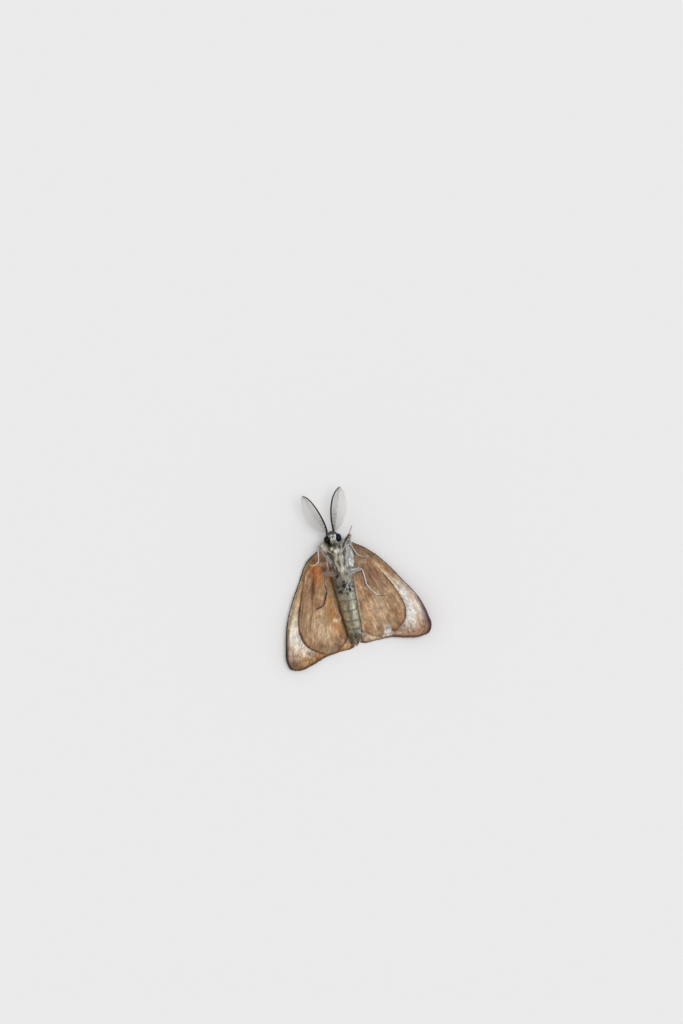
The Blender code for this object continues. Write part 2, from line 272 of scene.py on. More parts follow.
# Outline marks: the right wing's place, then the left wing's.
FOREWING = {
    "above": -0.13,
    "hinge": ((-1.8, 3.0), (1.8, 3.0)),
    "marks": {
        "shoulder": ((-2.70, 4.25), (2.20, 4.40)),
        "front_root": ((-4.60, 3.10), (4.00, 3.15)),
        "front_inner": ((-6.65, 0.00), (6.20, 0.80)),
        "front_middle": ((-8.35, -2.90), (8.20, -2.25)),
        "front_outer": ((-9.65, -5.90), (9.95, -5.10)),
        "front_tip": ((-10.40, -8.90), (10.95, -8.30)),
        "apex_front": ((-10.60, -11.00), (11.05, -9.80)),
        "apex": ((-10.15, -12.15), (10.40, -10.85)),
        "apex_rear": ((-9.20, -12.50), (9.00, -11.15)),
        "rear_outer": ((-7.00, -12.05), (7.00, -10.85)),
        "rear_middle": ((-5.00, -11.30), (5.00, -10.35)),
        "rear_inner": ((-3.00, -10.95), (2.90, -10.35)),
        "tornus": ((-0.70, -10.55), (0.70, -10.15)),
        "inner_rear": ((-0.20, -8.60), (0.20, -8.60)),
        "inner_front": ((-0.20, -3.00), (0.20, -3.00)),
        "root": ((-1.20, 1.10), (1.20, 1.10)),
    },
    # Where each vein lies across the wing, at the root and at the outer edge.
    "veins": ((0.10, -0.04), (0.16, 0.03), (0.20, 0.10), (0.24, 0.18), (0.27, 0.27),
              (0.42, 0.38), (0.46, 0.48), (0.50, 0.57), (0.58, 0.68), (0.62, 0.78),
              (0.86, 0.93)),
}
HINDWING = {
    "above": 0.42,
    "hinge": ((-1.6, 1.9), (1.6, 1.9)),
    "marks": {
        "shoulder": ((-3.10, 2.45), (2.90, 2.55)),
        "front_root": ((-4.60, 2.00), (4.00, 2.10)),
        "front_inner": ((-5.95, -0.20), (5.35, -0.30)),
        "front_middle": ((-6.95, -2.80), (6.55, -2.35)),
        "front_outer": ((-7.70, -5.00), (7.45, -4.50)),
        "apex": ((-7.95, -7.10), (7.95, -6.60)),
        "apex_rear": ((-7.40, -9.10), (7.40, -8.45)),
        "rear_outer": ((-6.55, -10.02), (6.45, -9.20)),
        "lobe_outer": ((-6.00, -10.36), (5.62, -9.72)),
        "notch_outer": ((-5.40, -10.72), (5.30, -8.95)),
        "notch": ((-4.80, -10.92), (4.70, -8.62)),
        "notch_inner": ((-4.20, -10.98), (4.18, -9.10)),
        "lobe_inner": ((-3.50, -10.92), (3.72, -10.05)),
        "rear_inner": ((-2.60, -10.50), (2.75, -9.60)),
        "tornus": ((-1.20, -9.20), (1.20, -8.72)),
        "inner_edge": ((-0.35, -6.50), (0.35, -6.50)),
        "root": ((-0.95, 0.10), (0.95, 0.10)),
    },
    "veins": ((0.12, 0.00), (0.22, 0.13), (0.26, 0.27), (0.42, 0.40), (0.46, 0.52),
              (0.52, 0.63), (0.60, 0.76), (0.80, 0.90)),
}


def curve_between(rows, first, last, shares):
    """Points at shares of the way from one mark to another of a smooth curve.

    Between two marks the curve is a cubic whose tangents come from the marks on either
    side, and the shares count the straight lengths between the marks.
    """
    rows = np.asarray(rows, dtype=float)
    steps = np.linalg.norm(np.diff(rows[:, :2], axis=0), axis=1)
    along = np.concatenate([[0.0], np.cumsum(steps)])
    slopes = np.gradient(rows, along, axis=0)
    shares = np.asarray(shares, dtype=float)
    wanted = along[first] + (along[last] - along[first]) * shares.ravel()
    index = np.clip(np.searchsorted(along, wanted, side="right") - 1, 0, len(rows) - 2)
    width = (along[index + 1] - along[index])[:, None]
    t = (wanted - along[index])[:, None] / width
    points = ((2 * t**3 - 3 * t**2 + 1) * rows[index]
              + (t**3 - 2 * t**2 + t) * width * slopes[index]
              + (3 * t**2 - 2 * t**3) * rows[index + 1]
              + (t**3 - t**2) * width * slopes[index + 1])
    return points.reshape(*shares.shape, rows.shape[1])


def soft_step(values, start, end):
    """0 before start, 1 after end, and a smooth S between them."""
    share = np.clip((np.asarray(values, dtype=float) - start) / (end - start), 0.0, 1.0)
    return share * share * (3.0 - 2.0 * share)


def bell(values, middle, half):
    """A bell curve of height 1 about the middle."""
    return np.exp(-(((values - middle) / half) ** 2))


def grain(a, b, size, seed):
    """Smooth random numbers from 0 to 1: a lattice of random values, blended by S curves."""
    lattice = np.random.default_rng(seed).random((64, 64))
    x, y = np.asarray(a) / size, np.asarray(b) / size
    column, row = np.floor(x).astype(int), np.floor(y).astype(int)
    fx, fy = soft_step(x - column, 0, 1), soft_step(y - row, 0, 1)
    low = lattice[row % 64, column % 64] * (1 - fx) + lattice[row % 64, (column + 1) % 64] * fx
    high = (lattice[(row + 1) % 64, column % 64] * (1 - fx)
            + lattice[(row + 1) % 64, (column + 1) % 64] * fx)
    return low * (1 - fy) + high * fy


def mix(colours, tint, mask):
    """Colours washed over with a tint where the mask is high."""
    mask = np.clip(mask, 0.0, 1.0)[..., None]
    return colours * (1.0 - mask) + paint(tint) * mask


def spot(u, v, middle, radii, lean=0.0):
    """A soft round or long spot: a bell curve of the distance in a leaning frame."""
    du, dv = u - middle[0], v - middle[1]
    turn = math.radians(lean)
    across = (du * math.cos(turn) + dv * math.sin(turn)) / radii[0]
    along = (-du * math.sin(turn) + dv * math.cos(turn)) / radii[1]
    return np.exp(-(across**2 + along**2))


def nearest(points, line):
    """Distance of each point to the nearest sample of a line."""
    return np.sqrt(((points[..., None, :] - line) ** 2).sum(-1).min(-1))


def wing_plan(wing, side, s, t):
    """Where a wing lies in plan, s from its root to its outer edge, t from front to rear.

    The front and inner edges blended across, plus the root and outer edges blended along,
    less the four corners blended both ways.
    """
    names = list(wing["marks"])
    rows = [mark[side] for mark in wing["marks"].values()]
    apex, tornus, last = names.index("apex"), names.index("tornus"), len(names) - 1
    shoulder, root = np.array(rows[0]), np.array(rows[-1])
    pull = 2 * np.array(wing["hinge"][side]) - (shoulder + root) / 2
    front = curve_between(rows, 0, apex, s)
    inner = curve_between(rows, last, tornus, s)
    outer = curve_between(rows, apex, tornus, t)
    s, t = s[..., None], t[..., None]
    at_root = (1 - t)**2 * shoulder + 2 * t * (1 - t) * pull + t**2 * root
    far_front, far_inner = np.array(rows[apex]), np.array(rows[tornus])
    plan = ((1 - t) * front + t * inner + (1 - s) * at_root + s * outer
            - (1 - s) * ((1 - t) * shoulder + t * root) - s * ((1 - t) * far_front
                                                             + t * far_inner))
    outward = 2 * side - 1
    plan[..., 0] = outward * np.maximum(outward * plan[..., 0], WING_CLEAR)
    return plan


def wing_level(u, v, side):
    """Middle height of a wing: level near the midline, rising to the tip and the hinge."""
    outward = np.abs(u) - WING_FLAT
    rise = WING_TILT[side] * (np.sqrt(outward**2 + 1.0) + outward) / 2
    from_hinge = np.hypot(np.abs(u) - LIFT_CENTRE[0], v - LIFT_CENTRE[1])
    lift = ROOT_LIFT * np.exp(-(from_hinge / ROOT_REACH) ** 2)
    return np.maximum(WING_REST, WING_REST - 0.06 + rise + lift)


def vein_distance(wing, s, t):
    """Distance across the wing to the nearest vein; the wing widens from root to edge."""
    width = ROOT_WIDTH + WIDENING * s
    best = np.full(np.shape(s), 9.0)
    for at_root, at_edge in wing["veins"]:
        line = at_root + (at_edge - at_root) * soft_step(s, 0.0, 0.75)
        best = np.minimum(best, np.abs(t - line) * width)
    return best


def wing_surface(wing, side, s, t, face):
    """Points of a wing's belly face (+1) or back face (-1)."""
    plan = wing_plan(wing, side, s, t)
    from_vein = vein_distance(wing, s, t)
    rim = np.minimum(np.minimum(t, 1 - t) * (ROOT_WIDTH + WIDENING * s),
                     np.maximum(FILM_END - s, 0) * WING_REACH)
    thin = soft_step(rim, 0.0, 0.35)
    pleat = PLEAT_DEPTH * (bell(from_vein, 0.0, 0.35) - 0.5) * soft_step(s, 0.02, 0.2) * thin
    vein = VEIN_RISE * bell(from_vein, 0.0, VEIN_HALF) * (1.15 - 0.8 * s)
    half = FILM_HALF * (0.35 + 0.65 * thin) + vein * (0.4 + 0.6 * thin)
    level = wing_level(plan[..., 0], plan[..., 1], side) + wing["above"] + pleat
    return np.concatenate([plan, (level + face * half)[..., None]], axis=-1)


def edge_distances(wing, side, plan):
    """Distances to the front and outer edges of a wing."""
    share, nothing = np.linspace(0, 1, 160), np.zeros(160)
    flat = plan.reshape(-1, 2)
    lines = wing_plan(wing, side, share, nothing), wing_plan(wing, side, nothing + 1, share)
    return [nearest(flat, line).reshape(plan.shape[:-1]) for line in lines]


# The belly markings are washes of colour laid one over another. Each wash is a tint, its
# middle, its half sizes across and along, its lean in degrees and its strength.
FOREWING_WASHES = (
    (((196, 164, 122), (-6.9, -1.2), (1.3, 3.4), -24, 0.9),
     ((132, 88, 52), (-3.9, 3.2), (1.3, 0.8), -30, 0.9),
     ((150, 114, 78), (-5.4, 1.2), (0.8, 1.4), -28, 0.8),
     ((216, 186, 146), (-7.1, -2.3), (0.25, 1.2), -22, 0.8),
     ((188, 166, 116), (-8.55, -4.5), (0.35, 0.7), -20, 0.8),
     ((204, 160, 118), (-8.95, -5.4), (0.3, 0.6), -15, 0.7),
     ((226, 178, 124), (-6.55, -1.3), (0.22, 0.9), -24, 0.8),
     ((232, 196, 150), (-7.6, -3.9), (0.28, 0.7), -15, 0.8),
     ((186, 156, 124), (-9.4, -9.0), (0.4, 0.5), 0, 0.8),
     ((234, 226, 214), (-8.7, -7.4), (0.75, 1.9), -8, 0.9),
     ((150, 124, 94), (-9.65, -6.8), (0.25, 1.6), -12, 0.8),
     ((196, 160, 122), (-9.8, -9.0), (0.4, 0.6), 0, 0.7),
     ((200, 166, 122), (-8.6, -10.0), (0.55, 0.6), 0, 0.8),
     ((150, 104, 78), (-9.55, -10.1), (0.35, 0.6), 0, 0.8),
     ((228, 212, 190), (-7.7, -9.9), (0.5, 0.6), 20, 0.8),
     ((182, 144, 100), (-8.1, -11.1), (1.3, 0.5), 0, 0.8),
     ((114, 84, 76), (-9.8, -11.2), (0.5, 0.75), 0, 0.95),
     ((226, 200, 168), (-7.1, -10.6), (0.3, 0.25), 0, 0.7),
     ((158, 102, 50), (-6.2, -11.0), (0.5, 0.4), 0, 0.8),
     ((208, 154, 106), (-5.5, -10.9), (0.4, 0.22), 0, 0.7),
     ((204, 144, 80), (-1.7, -10.2), (1.0, 0.45), 0, 0.95),
     ((250, 216, 164), (-1.7, -9.95), (0.5, 0.30), 0, 0.9)),
    (((182, 142, 98), (5.9, 0.4), (0.9, 2.2), 33, 0.9),
     # Painted shade: the dark gap between the thorax and the left middle leg.
     ((44, 40, 40), (2.20, 3.25), (0.20, 0.75), 15, 0.9),
     ((116, 82, 64), (3.2, 3.5), (1.0, 0.7), 0, 0.9),
     ((138, 118, 80), (3.9, 2.6), (0.8, 0.5), 30, 0.7),
     ((112, 92, 74), (4.5, 2.1), (0.5, 0.5), 30, 0.8),
     ((180, 132, 86), (6.9, -1.0), (0.45, 0.9), 33, 0.7),
     ((188, 162, 114), (7.35, -2.1), (0.4, 0.5), 30, 0.8),
     ((224, 204, 168), (8.0, -3.0), (0.4, 0.6), 25, 0.8),
     ((236, 232, 226), (8.0, -4.6), (0.45, 1.3), 20, 0.9),
     ((150, 92, 52), (6.30, -0.35), (0.22, 0.36), 33, 0.8),
     ((150, 96, 60), (6.90, -1.45), (0.20, 0.42), 30, 0.75),
     ((204, 164, 138), (9.0, -4.9), (0.35, 0.9), 25, 0.8),
     ((234, 230, 228), (8.6, -6.9), (0.7, 1.5), 8, 0.9),
     ((224, 204, 170), (9.4, -6.5), (0.3, 0.9), 15, 0.8),
     ((228, 208, 192), (7.9, -9.1), (0.7, 0.5), 0, 0.7),
     ((192, 160, 120), (9.35, -8.2), (0.35, 0.7), 5, 0.8),
     ((168, 132, 92), (9.6, -9.2), (0.55, 0.9), 0, 0.85),
     ((132, 104, 90), (10.3, -8.6), (0.35, 1.3), 5, 0.85),
     ((204, 174, 154), (6.7, -9.9), (1.2, 0.4), -4, 0.8),
     ((176, 142, 116), (8.6, -10.1), (0.9, 0.45), 0, 0.7),
     ((246, 240, 234), (4.65, -9.25), (0.66, 0.95), 0, 1.0),
     ((226, 202, 170), (2.4, -9.7), (1.4, 0.5), -5, 0.95)),
)
HINDWING_WASHES = (
    (((150, 118, 90), (-7.2, -5.2), (0.8, 3.4), -8, 0.85),
     ((118, 66, 36), (-3.9, 2.0), (1.2, 0.6), -20, 0.9),
     ((146, 122, 106), (-2.40, 2.30), (0.38, 1.0), -8, 0.9),
     ((154, 116, 90), (-5.8, -1.2), (0.6, 1.9), -20, 0.8),
     ((206, 164, 128), (-5.45, 0.5), (0.14, 0.7), -26, 0.8),
     ((204, 132, 68), (-3.7, 0.6), (0.8, 1.7), -8, 0.95),
     ((164, 96, 50), (-4.3, 1.7), (0.7, 0.7), 0, 0.8),
     ((210, 124, 66), (-3.35, 1.2), (0.4, 0.45), 0, 0.8),
     ((88, 50, 30), (-2.5, 1.2), (0.45, 0.7), 0, 0.85),
     ((106, 64, 38), (-4.6, -0.9), (0.34, 1.4), -14, 0.9),
     ((152, 120, 100), (-2.6, -1.0), (0.35, 0.9), 0, 0.8),
     ((216, 176, 142), (-3.4, -1.0), (0.22, 0.25), 0, 0.7),
     ((206, 166, 132), (-3.8, -2.5), (0.4, 0.5), 0, 0.8),
     ((148, 98, 72), (-4.7, -3.3), (0.5, 0.7), -10, 0.8),
     ((206, 158, 98), (-2.7, -3.2), (0.45, 0.8), 0, 0.85),
     ((218, 192, 156), (-4.2, -4.7), (0.6, 0.6), 0, 0.85),
     ((192, 134, 72), (-2.7, -4.7), (0.75, 0.7), 0, 0.9),
     ((172, 146, 116), (-6.2, -5.2), (0.5, 1.0), -8, 0.7),
     ((206, 178, 148), (-4.8, -6.7), (1.0, 1.4), 0, 0.9),
     ((192, 146, 92), (-3.3, -5.8), (0.35, 0.8), 0, 0.7),
     ((228, 198, 158), (-2.1, -6.1), (0.45, 0.45), 0, 0.85),
     ((204, 138, 80), (-2.45, -7.2), (0.6, 0.45), 0, 0.85),
     ((250, 214, 168), (-2.45, -6.05), (0.35, 0.35), 0, 0.9),
     ((240, 206, 164), (-3.4, -7.5), (0.4, 0.9), 0, 0.8),
     ((150, 112, 80), (-6.5, -9.0), (0.5, 0.5), 30, 0.8),
     ((206, 182, 152), (-4.3, -8.0), (1.0, 0.6), 0, 0.8),
     ((158, 104, 70), (-2.0, -8.5), (0.75, 0.5), 0, 0.85),
     ((140, 110, 84), (-5.2, -9.6), (1.2, 0.6), 20, 0.8),
     ((146, 120, 96), (-3.6, -10.1), (1.4, 0.6), 0, 0.85),
     ((116, 100, 102), (-2.9, -9.8), (0.45, 0.35), 0, 0.8),
     ((112, 80, 66), (-1.8, -9.3), (0.6, 0.4), 0, 0.8),
     ((74, 42, 16), (-6.1, -10.1), (0.3, 0.22), 0, 0.8)),
    (((146, 108, 86), (4.3, -0.8), (1.5, 2.0), 15, 0.9),
     # Painted shade: the dark gap between the thorax and the left middle leg.
     ((44, 40, 40), (2.30, 3.00), (0.22, 0.75), 15, 0.9),
     ((112, 84, 70), (3.0, 0.9), (0.8, 1.2), 0, 0.8),
     ((176, 136, 104), (5.5, -0.6), (0.3, 1.2), 33, 0.8),
     ((196, 144, 110), (2.0, -1.6), (0.5, 1.2), 0, 0.9),
     ((146, 112, 80), (3.9, -2.6), (0.7, 0.7), 0, 0.6),
     ((200, 160, 118), (2.0, -3.3), (0.5, 0.7), 0, 0.8),
     ((192, 134, 90), (3.0, -3.7), (0.35, 0.7), 10, 0.8),
     ((218, 190, 158), (4.0, -4.9), (0.6, 0.9), 0, 0.9),
     ((152, 120, 90), (6.4, -5.6), (0.85, 1.7), 8, 0.85),
     ((178, 128, 86), (1.7, -5.0), (0.4, 0.8), 0, 0.8),
     ((232, 196, 158), (2.6, -5.0), (0.45, 0.6), 0, 0.8),
     ((120, 98, 78), (3.6, 1.9), (0.7, 0.5), 20, 0.8),
     ((222, 186, 150), (1.5, -8.9), (0.5, 0.3), 0, 0.8),
     ((208, 178, 148), (4.2, -6.4), (0.9, 0.9), 0, 0.85),
     ((156, 120, 84), (6.5, -7.2), (0.8, 0.9), 0, 0.85),
     ((196, 150, 112), (2.3, -6.5), (0.7, 0.9), 0, 0.75),
     ((166, 116, 76), (1.8, -8.1), (0.5, 0.6), 0, 0.85),
     ((188, 154, 122), (4.0, -7.8), (1.0, 0.6), 0, 0.8),
     ((142, 104, 74), (6.4, -8.5), (0.8, 0.5), 20, 0.85),
     ((150, 114, 82), (3.0, -9.0), (0.8, 0.4), -25, 0.8),
     ((120, 82, 56), (5.7, -9.3), (0.3, 0.4), 0, 0.8),
     ((222, 214, 208), (4.6, -8.9), (0.45, 0.7), 0, 0.9)),
)
# Strokes, most along the veins: a tint, the two ends, half the width and the strength. The dark
# strokes beside the abdomen are painted shade of the gap between the abdomen and the wings.
FOREWING_STROKES = (
    (((222, 188, 146), (-6.0, 0.2), (-7.3, -2.9), 0.12, 0.8),
     ((120, 92, 58), (-7.9, -2.4), (-8.6, -4.2), 0.10, 0.5),
     # Painted shade beside the abdomen's tail.
     ((64, 42, 26), (-1.05, -8.5), (-0.78, -10.1), 0.20, 0.95)),
    (((250, 222, 184), (4.75, 1.1), (6.12, -1.2), 0.15, 0.9),
     ((250, 226, 190), (6.12, -1.2), (7.15, -3.1), 0.19, 0.9),
     ((120, 92, 74), (8.0, -9.2), (8.1, -9.9), 0.05, 0.6),
     # Painted shade beside the abdomen's tail.
     ((60, 50, 38), (0.88, -8.5), (0.70, -10.0), 0.14, 0.85)),
)
HINDWING_STROKES = (
    (((100, 58, 34), (-4.3, 0.6), (-5.1, -2.4), 0.16, 0.7),
     ((128, 84, 58), (-5.1, -2.4), (-5.6, -4.9), 0.10, 0.7),
     ((120, 84, 56), (-5.7, -4.8), (-6.35, -7.0), 0.07, 0.7),
     ((132, 96, 70), (-5.05, -4.7), (-5.3, -6.6), 0.06, 0.6),
     ((126, 90, 62), (-6.0, -3.0), (-6.6, -4.6), 0.08, 0.5),
     ((126, 92, 60), (-4.0, -5.6), (-4.1, -7.0), 0.07, 0.5),
     ((232, 208, 180), (-4.35, -6.8), (-4.6, -9.4), 0.05, 0.7),
     ((226, 198, 168), (-3.9, -7.4), (-4.0, -9.6), 0.04, 0.5),
     ((110, 66, 30), (-2.9, -2.0), (-3.2, -3.1), 0.10, 0.6),
     # Painted shade: the dark strip beside the abdomen on the right hindwing.
     ((72, 44, 22), (-1.78, 0.4), (-1.48, -5.0), 0.26, 0.80),
     ((66, 42, 22), (-1.48, -5.0), (-1.10, -8.8), 0.24, 0.95)),
    (((122, 88, 60), (5.0, -4.5), (5.25, -6.6), 0.05, 0.8),
     ((122, 88, 60), (5.25, -6.6), (5.5, -8.6), 0.05, 0.6),
     ((218, 186, 150), (6.8, -4.4), (7.5, -6.4), 0.06, 0.7),
     ((150, 92, 62), (2.5, -2.4), (3.1, -3.8), 0.10, 0.6),
     ((118, 82, 62), (3.3, 0.4), (4.3, -2.6), 0.12, 0.5),
     ((110, 76, 60), (4.6, 0.2), (5.3, -2.4), 0.10, 0.5),
     ((146, 98, 66), (1.5, -3.6), (1.7, -5.4), 0.09, 0.6),
     ((206, 188, 160), (1.50, -0.8), (1.24, -8.4), 0.13, 0.7),
     # Painted shade: the dark line beside the abdomen on the left hindwing.
     ((92, 72, 48), (1.26, -0.6), (0.98, -8.8), 0.09, 0.85)),
)
PALE = ((226, 214, 198), (224, 216, 206))
TAN = ((178, 144, 110), (178, 148, 118))
END = ((162, 126, 92), (166, 132, 110))
FRONT_EDGE = ((52, 48, 38), (76, 56, 54))
FRONT_BAND = ((142, 118, 88), (140, 108, 86))
TIP = ((118, 90, 78), (108, 80, 84))
RIM = ((82, 58, 38), (94, 66, 56))
WING_GAIN = 1.08


def lay_washes(colours, u, v, washes):
    """Every wash in turn, as a bell of the distance from its middle."""
    for tint, middle, radii, lean, strength in washes:
        colours = mix(colours, tint, spot(u, v, middle, radii, lean) * strength)
    return colours


def draw_strokes(colours, u, v, strokes):
    """Every stroke in turn, as a bell of the distance from its line."""
    for tint, start, end, half, strength in strokes:
        run = np.subtract(end, start)
        share = np.clip(((u - start[0]) * run[0] + (v - start[1]) * run[1]) / (run @ run), 0, 1)
        away = np.hypot(u - start[0] - share * run[0], v - start[1] - share * run[1])
        colours = mix(colours, tint, bell(away, 0.0, half) * strength)
    return colours


def dusting(u, v, side, seed):
    """Uneven brightness of a scaled wing: fine and coarse grains drawn out along it."""
    lean = 0.35 * (2 * side - 1)
    across, along = u + lean * v, v - lean * u
    fine = grain(across, along * 0.42, 0.16, seed)
    coarse = grain(across, along * 0.60, 0.45, seed + 40)
    return 1.0 + 0.48 * (fine - 0.5) + 0.40 * (coarse - 0.5)


def forewing_belly(side, u, v, s, t, front, outer):
    """Belly colours of a forewing: pale, gold to the front, mottled brown to the tip."""
    speck = grain(u, v, 0.24, 5 + side)
    colours = np.zeros(u.shape + (3,)) + paint(PALE[side])
    colours = mix(colours, TAN[side], 1 - soft_step(s, 0.2, 0.5))
    colours = mix(colours, END[side], soft_step(s, 0.84, 0.93))
    colours = lay_washes(colours, u, v, FOREWING_WASHES[side])
    colours = draw_strokes(colours, u, v, FOREWING_STROKES[side])
    brown_speck = soft_step(s, 0.78, 0.9) * soft_step(speck, 0.55, 0.9)
    pale_speck = soft_step(s, 0.75, 0.9) * soft_step(speck, 0.3, 0.05)
    colours = mix(colours, (128, 86, 54), brown_speck * 0.65)
    colours = mix(colours, (230, 206, 176), pale_speck * 0.35)
    colours = mix(colours, FRONT_BAND[side], bell(front, 0.36, 0.16) * (0.45 + 0.4 * speck))
    tip = (1 - soft_step(front, 0.2, 0.8)) * soft_step(s, 0.62, 0.9)
    colours = mix(colours, TIP[side], tip * 0.9)
    line = 0.16 + 0.22 * soft_step(s, 0.5, 0.95)
    colours = mix(colours, FRONT_EDGE[side], (1 - soft_step(front, line * 0.5, line * 1.2)) * 0.95)
    dots = 0.5 + 0.5 * np.sin(t * 62.0)
    near_rim = outer / (1 - 0.62 * soft_step(t, 0.45, 0.7))
    rim_strength = 0.45 + 0.35 * dots + 0.2 * (1 - soft_step(t, 0.3, 0.6))
    colours = mix(colours, RIM[side], (1 - soft_step(near_rim, 0.30, 0.75)) * rim_strength)
    return colours * (dusting(u, v, side, 7) * WING_GAIN)[..., None]


def hindwing_belly(side, u, v, s, t, front, outer):
    """Belly colours of a hindwing: orange-brown, paler at its centre, dark at its rim."""
    streak = grain(t * 70, s * 9, 1.0, 17 + side)
    colours = np.zeros(u.shape + (3,)) + paint(TAN[side])
    colours = lay_washes(colours, u, v, HINDWING_WASHES[side])
    dark = ((122, 84, 54), (124, 90, 66))[side]
    pale = ((222, 190, 152), (214, 186, 156))[side]
    outside = 1 - soft_step(t, 0.45, 0.75) * 0.7
    colours = mix(colours, dark, soft_step(streak, 0.6, 0.95) * (0.34 - 0.12 * side) * outside)
    colours = mix(colours, pale, soft_step(streak, 0.4, 0.05) * (0.30 - 0.1 * side) * outside)
    blotch = grain(u, v * 0.7, 0.5, 23 + side)
    inside = soft_step(t, 0.5, 0.75) if side == 0 else 0.7
    colours = mix(colours, (142, 84, 40), soft_step(blotch, 0.62, 0.9) * inside * 0.6)
    colours = mix(colours, (232, 200, 158), soft_step(blotch, 0.38, 0.12) * inside * 0.5)
    colours = draw_strokes(colours, u, v, HINDWING_STROKES[side])
    rim_tint = ((92, 62, 34), (104, 72, 48))[side]
    rim = 1 - soft_step(np.minimum(front, outer - 0.2), 0.05, 0.30)
    rim *= 1 - (0.6 + 0.4 * bell(np.hypot(u - 4.7, v + 8.9), 0.0, 0.55)) * side * (u < 5.6)
    rim *= 1 - 0.65 * (1 - side) * soft_step(t, 0.42, 0.60)
    colours = mix(colours, rim_tint, rim * (0.95 - 0.15 * side) * soft_step(s, 0.2, 0.5))
    return colours * (dusting(u, v, side, 9) * WING_GAIN)[..., None]


def zigzag(s, t, middle, waves, swing, half):
    """A dark wavy cross line of a wing's back: a bell curve about a wave."""
    line = middle + swing * np.sin(waves * t) + 0.4 * swing * np.sin(2.7 * waves * t)
    return bell(s, line, half)


def forewing_back(side, u, v, s, t, front, outer):
    """Back colours of a forewing: grey-brown with four dark zigzag lines and a crescent."""
    fine = grain(u, v, 0.25, 25 + side)
    colours = np.zeros(u.shape + (3,)) + paint((150, 127, 104))
    colours = mix(colours, (178, 158, 134), bell(s, 0.62, 0.1) * 0.6)
    for middle, swing in ((0.20, 0.012), (0.36, 0.015), (0.70, 0.018), (0.86, 0.014)):
        colours = mix(colours, (74, 56, 46), zigzag(s, t, middle, 34.0, swing, 0.014) * 0.9)
    colours = mix(colours, (96, 76, 62), soft_step(s, 0.86, 0.94) * 0.7)
    crescent = bell(np.hypot((s - 0.50) * 12.0, (t - 0.36) * 8.0), 0.38, 0.14) * (s > 0.5)
    colours = mix(colours, (50, 38, 32), crescent * 0.9)
    colours = mix(colours, (60, 44, 36), (1 - soft_step(outer, 0.1, 0.3)) * (np.sin(t * 60) > 0.2))
    return colours * (0.85 + 0.3 * fine)[..., None]


def hindwing_back(side, u, v, s, t, front, outer):
    """Back colours of a hindwing: warm brown with a darker band inside the rim."""
    fine = grain(u, v, 0.25, 35 + side)
    colours = np.zeros(u.shape + (3,)) + paint((168, 134, 98))
    colours = mix(colours, (112, 84, 62), soft_step(s, 0.78, 0.93) * 0.8)
    from_patch = np.hypot((s - 0.5) * 8, (t - 0.35) * 6)
    colours = mix(colours, (120, 90, 66), bell(from_patch, 0.0, 0.35) * 0.7)
    colours = mix(colours, (84, 62, 46), (1 - soft_step(outer, 0.08, 0.22)) * 0.8)
    return colours * (0.85 + 0.3 * fine)[..., None]


# Each wing's two looks, how dark its veins are, and its fringe with the torn pale place.
FOREWING.update(belly=forewing_belly, back=forewing_back, vein_shade=0.14,
                fringe=((92, 66, 42), (86, 60, 44)), pale_fringe=((), ()))
HINDWING.update(belly=hindwing_belly, back=hindwing_back, vein_shade=0.20,
                fringe=((92, 64, 38), (98, 68, 46)), pale_fringe=((), (((4.7, -8.9), 0.55),)))


def wing_colours(wing, side, s, t, face):
    """The markings of a wing's belly (+1) or back (-1) face, its veins a little darker."""
    plan = wing_plan(wing, side, s, t)
    front, outer = edge_distances(wing, side, plan)
    look = wing["belly"] if face > 0 else wing["back"]
    colours = look(side, plan[..., 0], plan[..., 1], s, t, front, outer)
    vein = bell(vein_distance(wing, s, t), 0.0, VEIN_HALF) * soft_step(s, 0.05, 0.3)
    return colours * (1.0 - wing["vein_shade"] * vein)[..., None]


def grid_faces(rows, columns, start=0):
    """Quads of a grid of points that are numbered row by row."""
    corner = (np.arange(rows - 1)[:, None] * columns + np.arange(columns - 1)).ravel() + start
    return np.stack([corner, corner + 1, corner + columns + 1, corner + columns], axis=1)


film = Finish("wing_film", roughness=0.7, specular_ior_level=0.25)
film_scales = film.node("TexVoronoi", {"feature": "F1"},
                        {"Vector": film.place(), "Scale": 1.0 / (0.16 * MM)}, "Distance")
film_grain = film.noise(0.12, detail=3.0)
film_tone = film_grain * 0.5 + 0.75
film_height = film_scales * 0.5 + film_grain * 0.5
wing_film = film.end(base_color=film.shade(film.marks(), film_tone),
                     normal=film.bump(film_height, 0.03, 0.6))


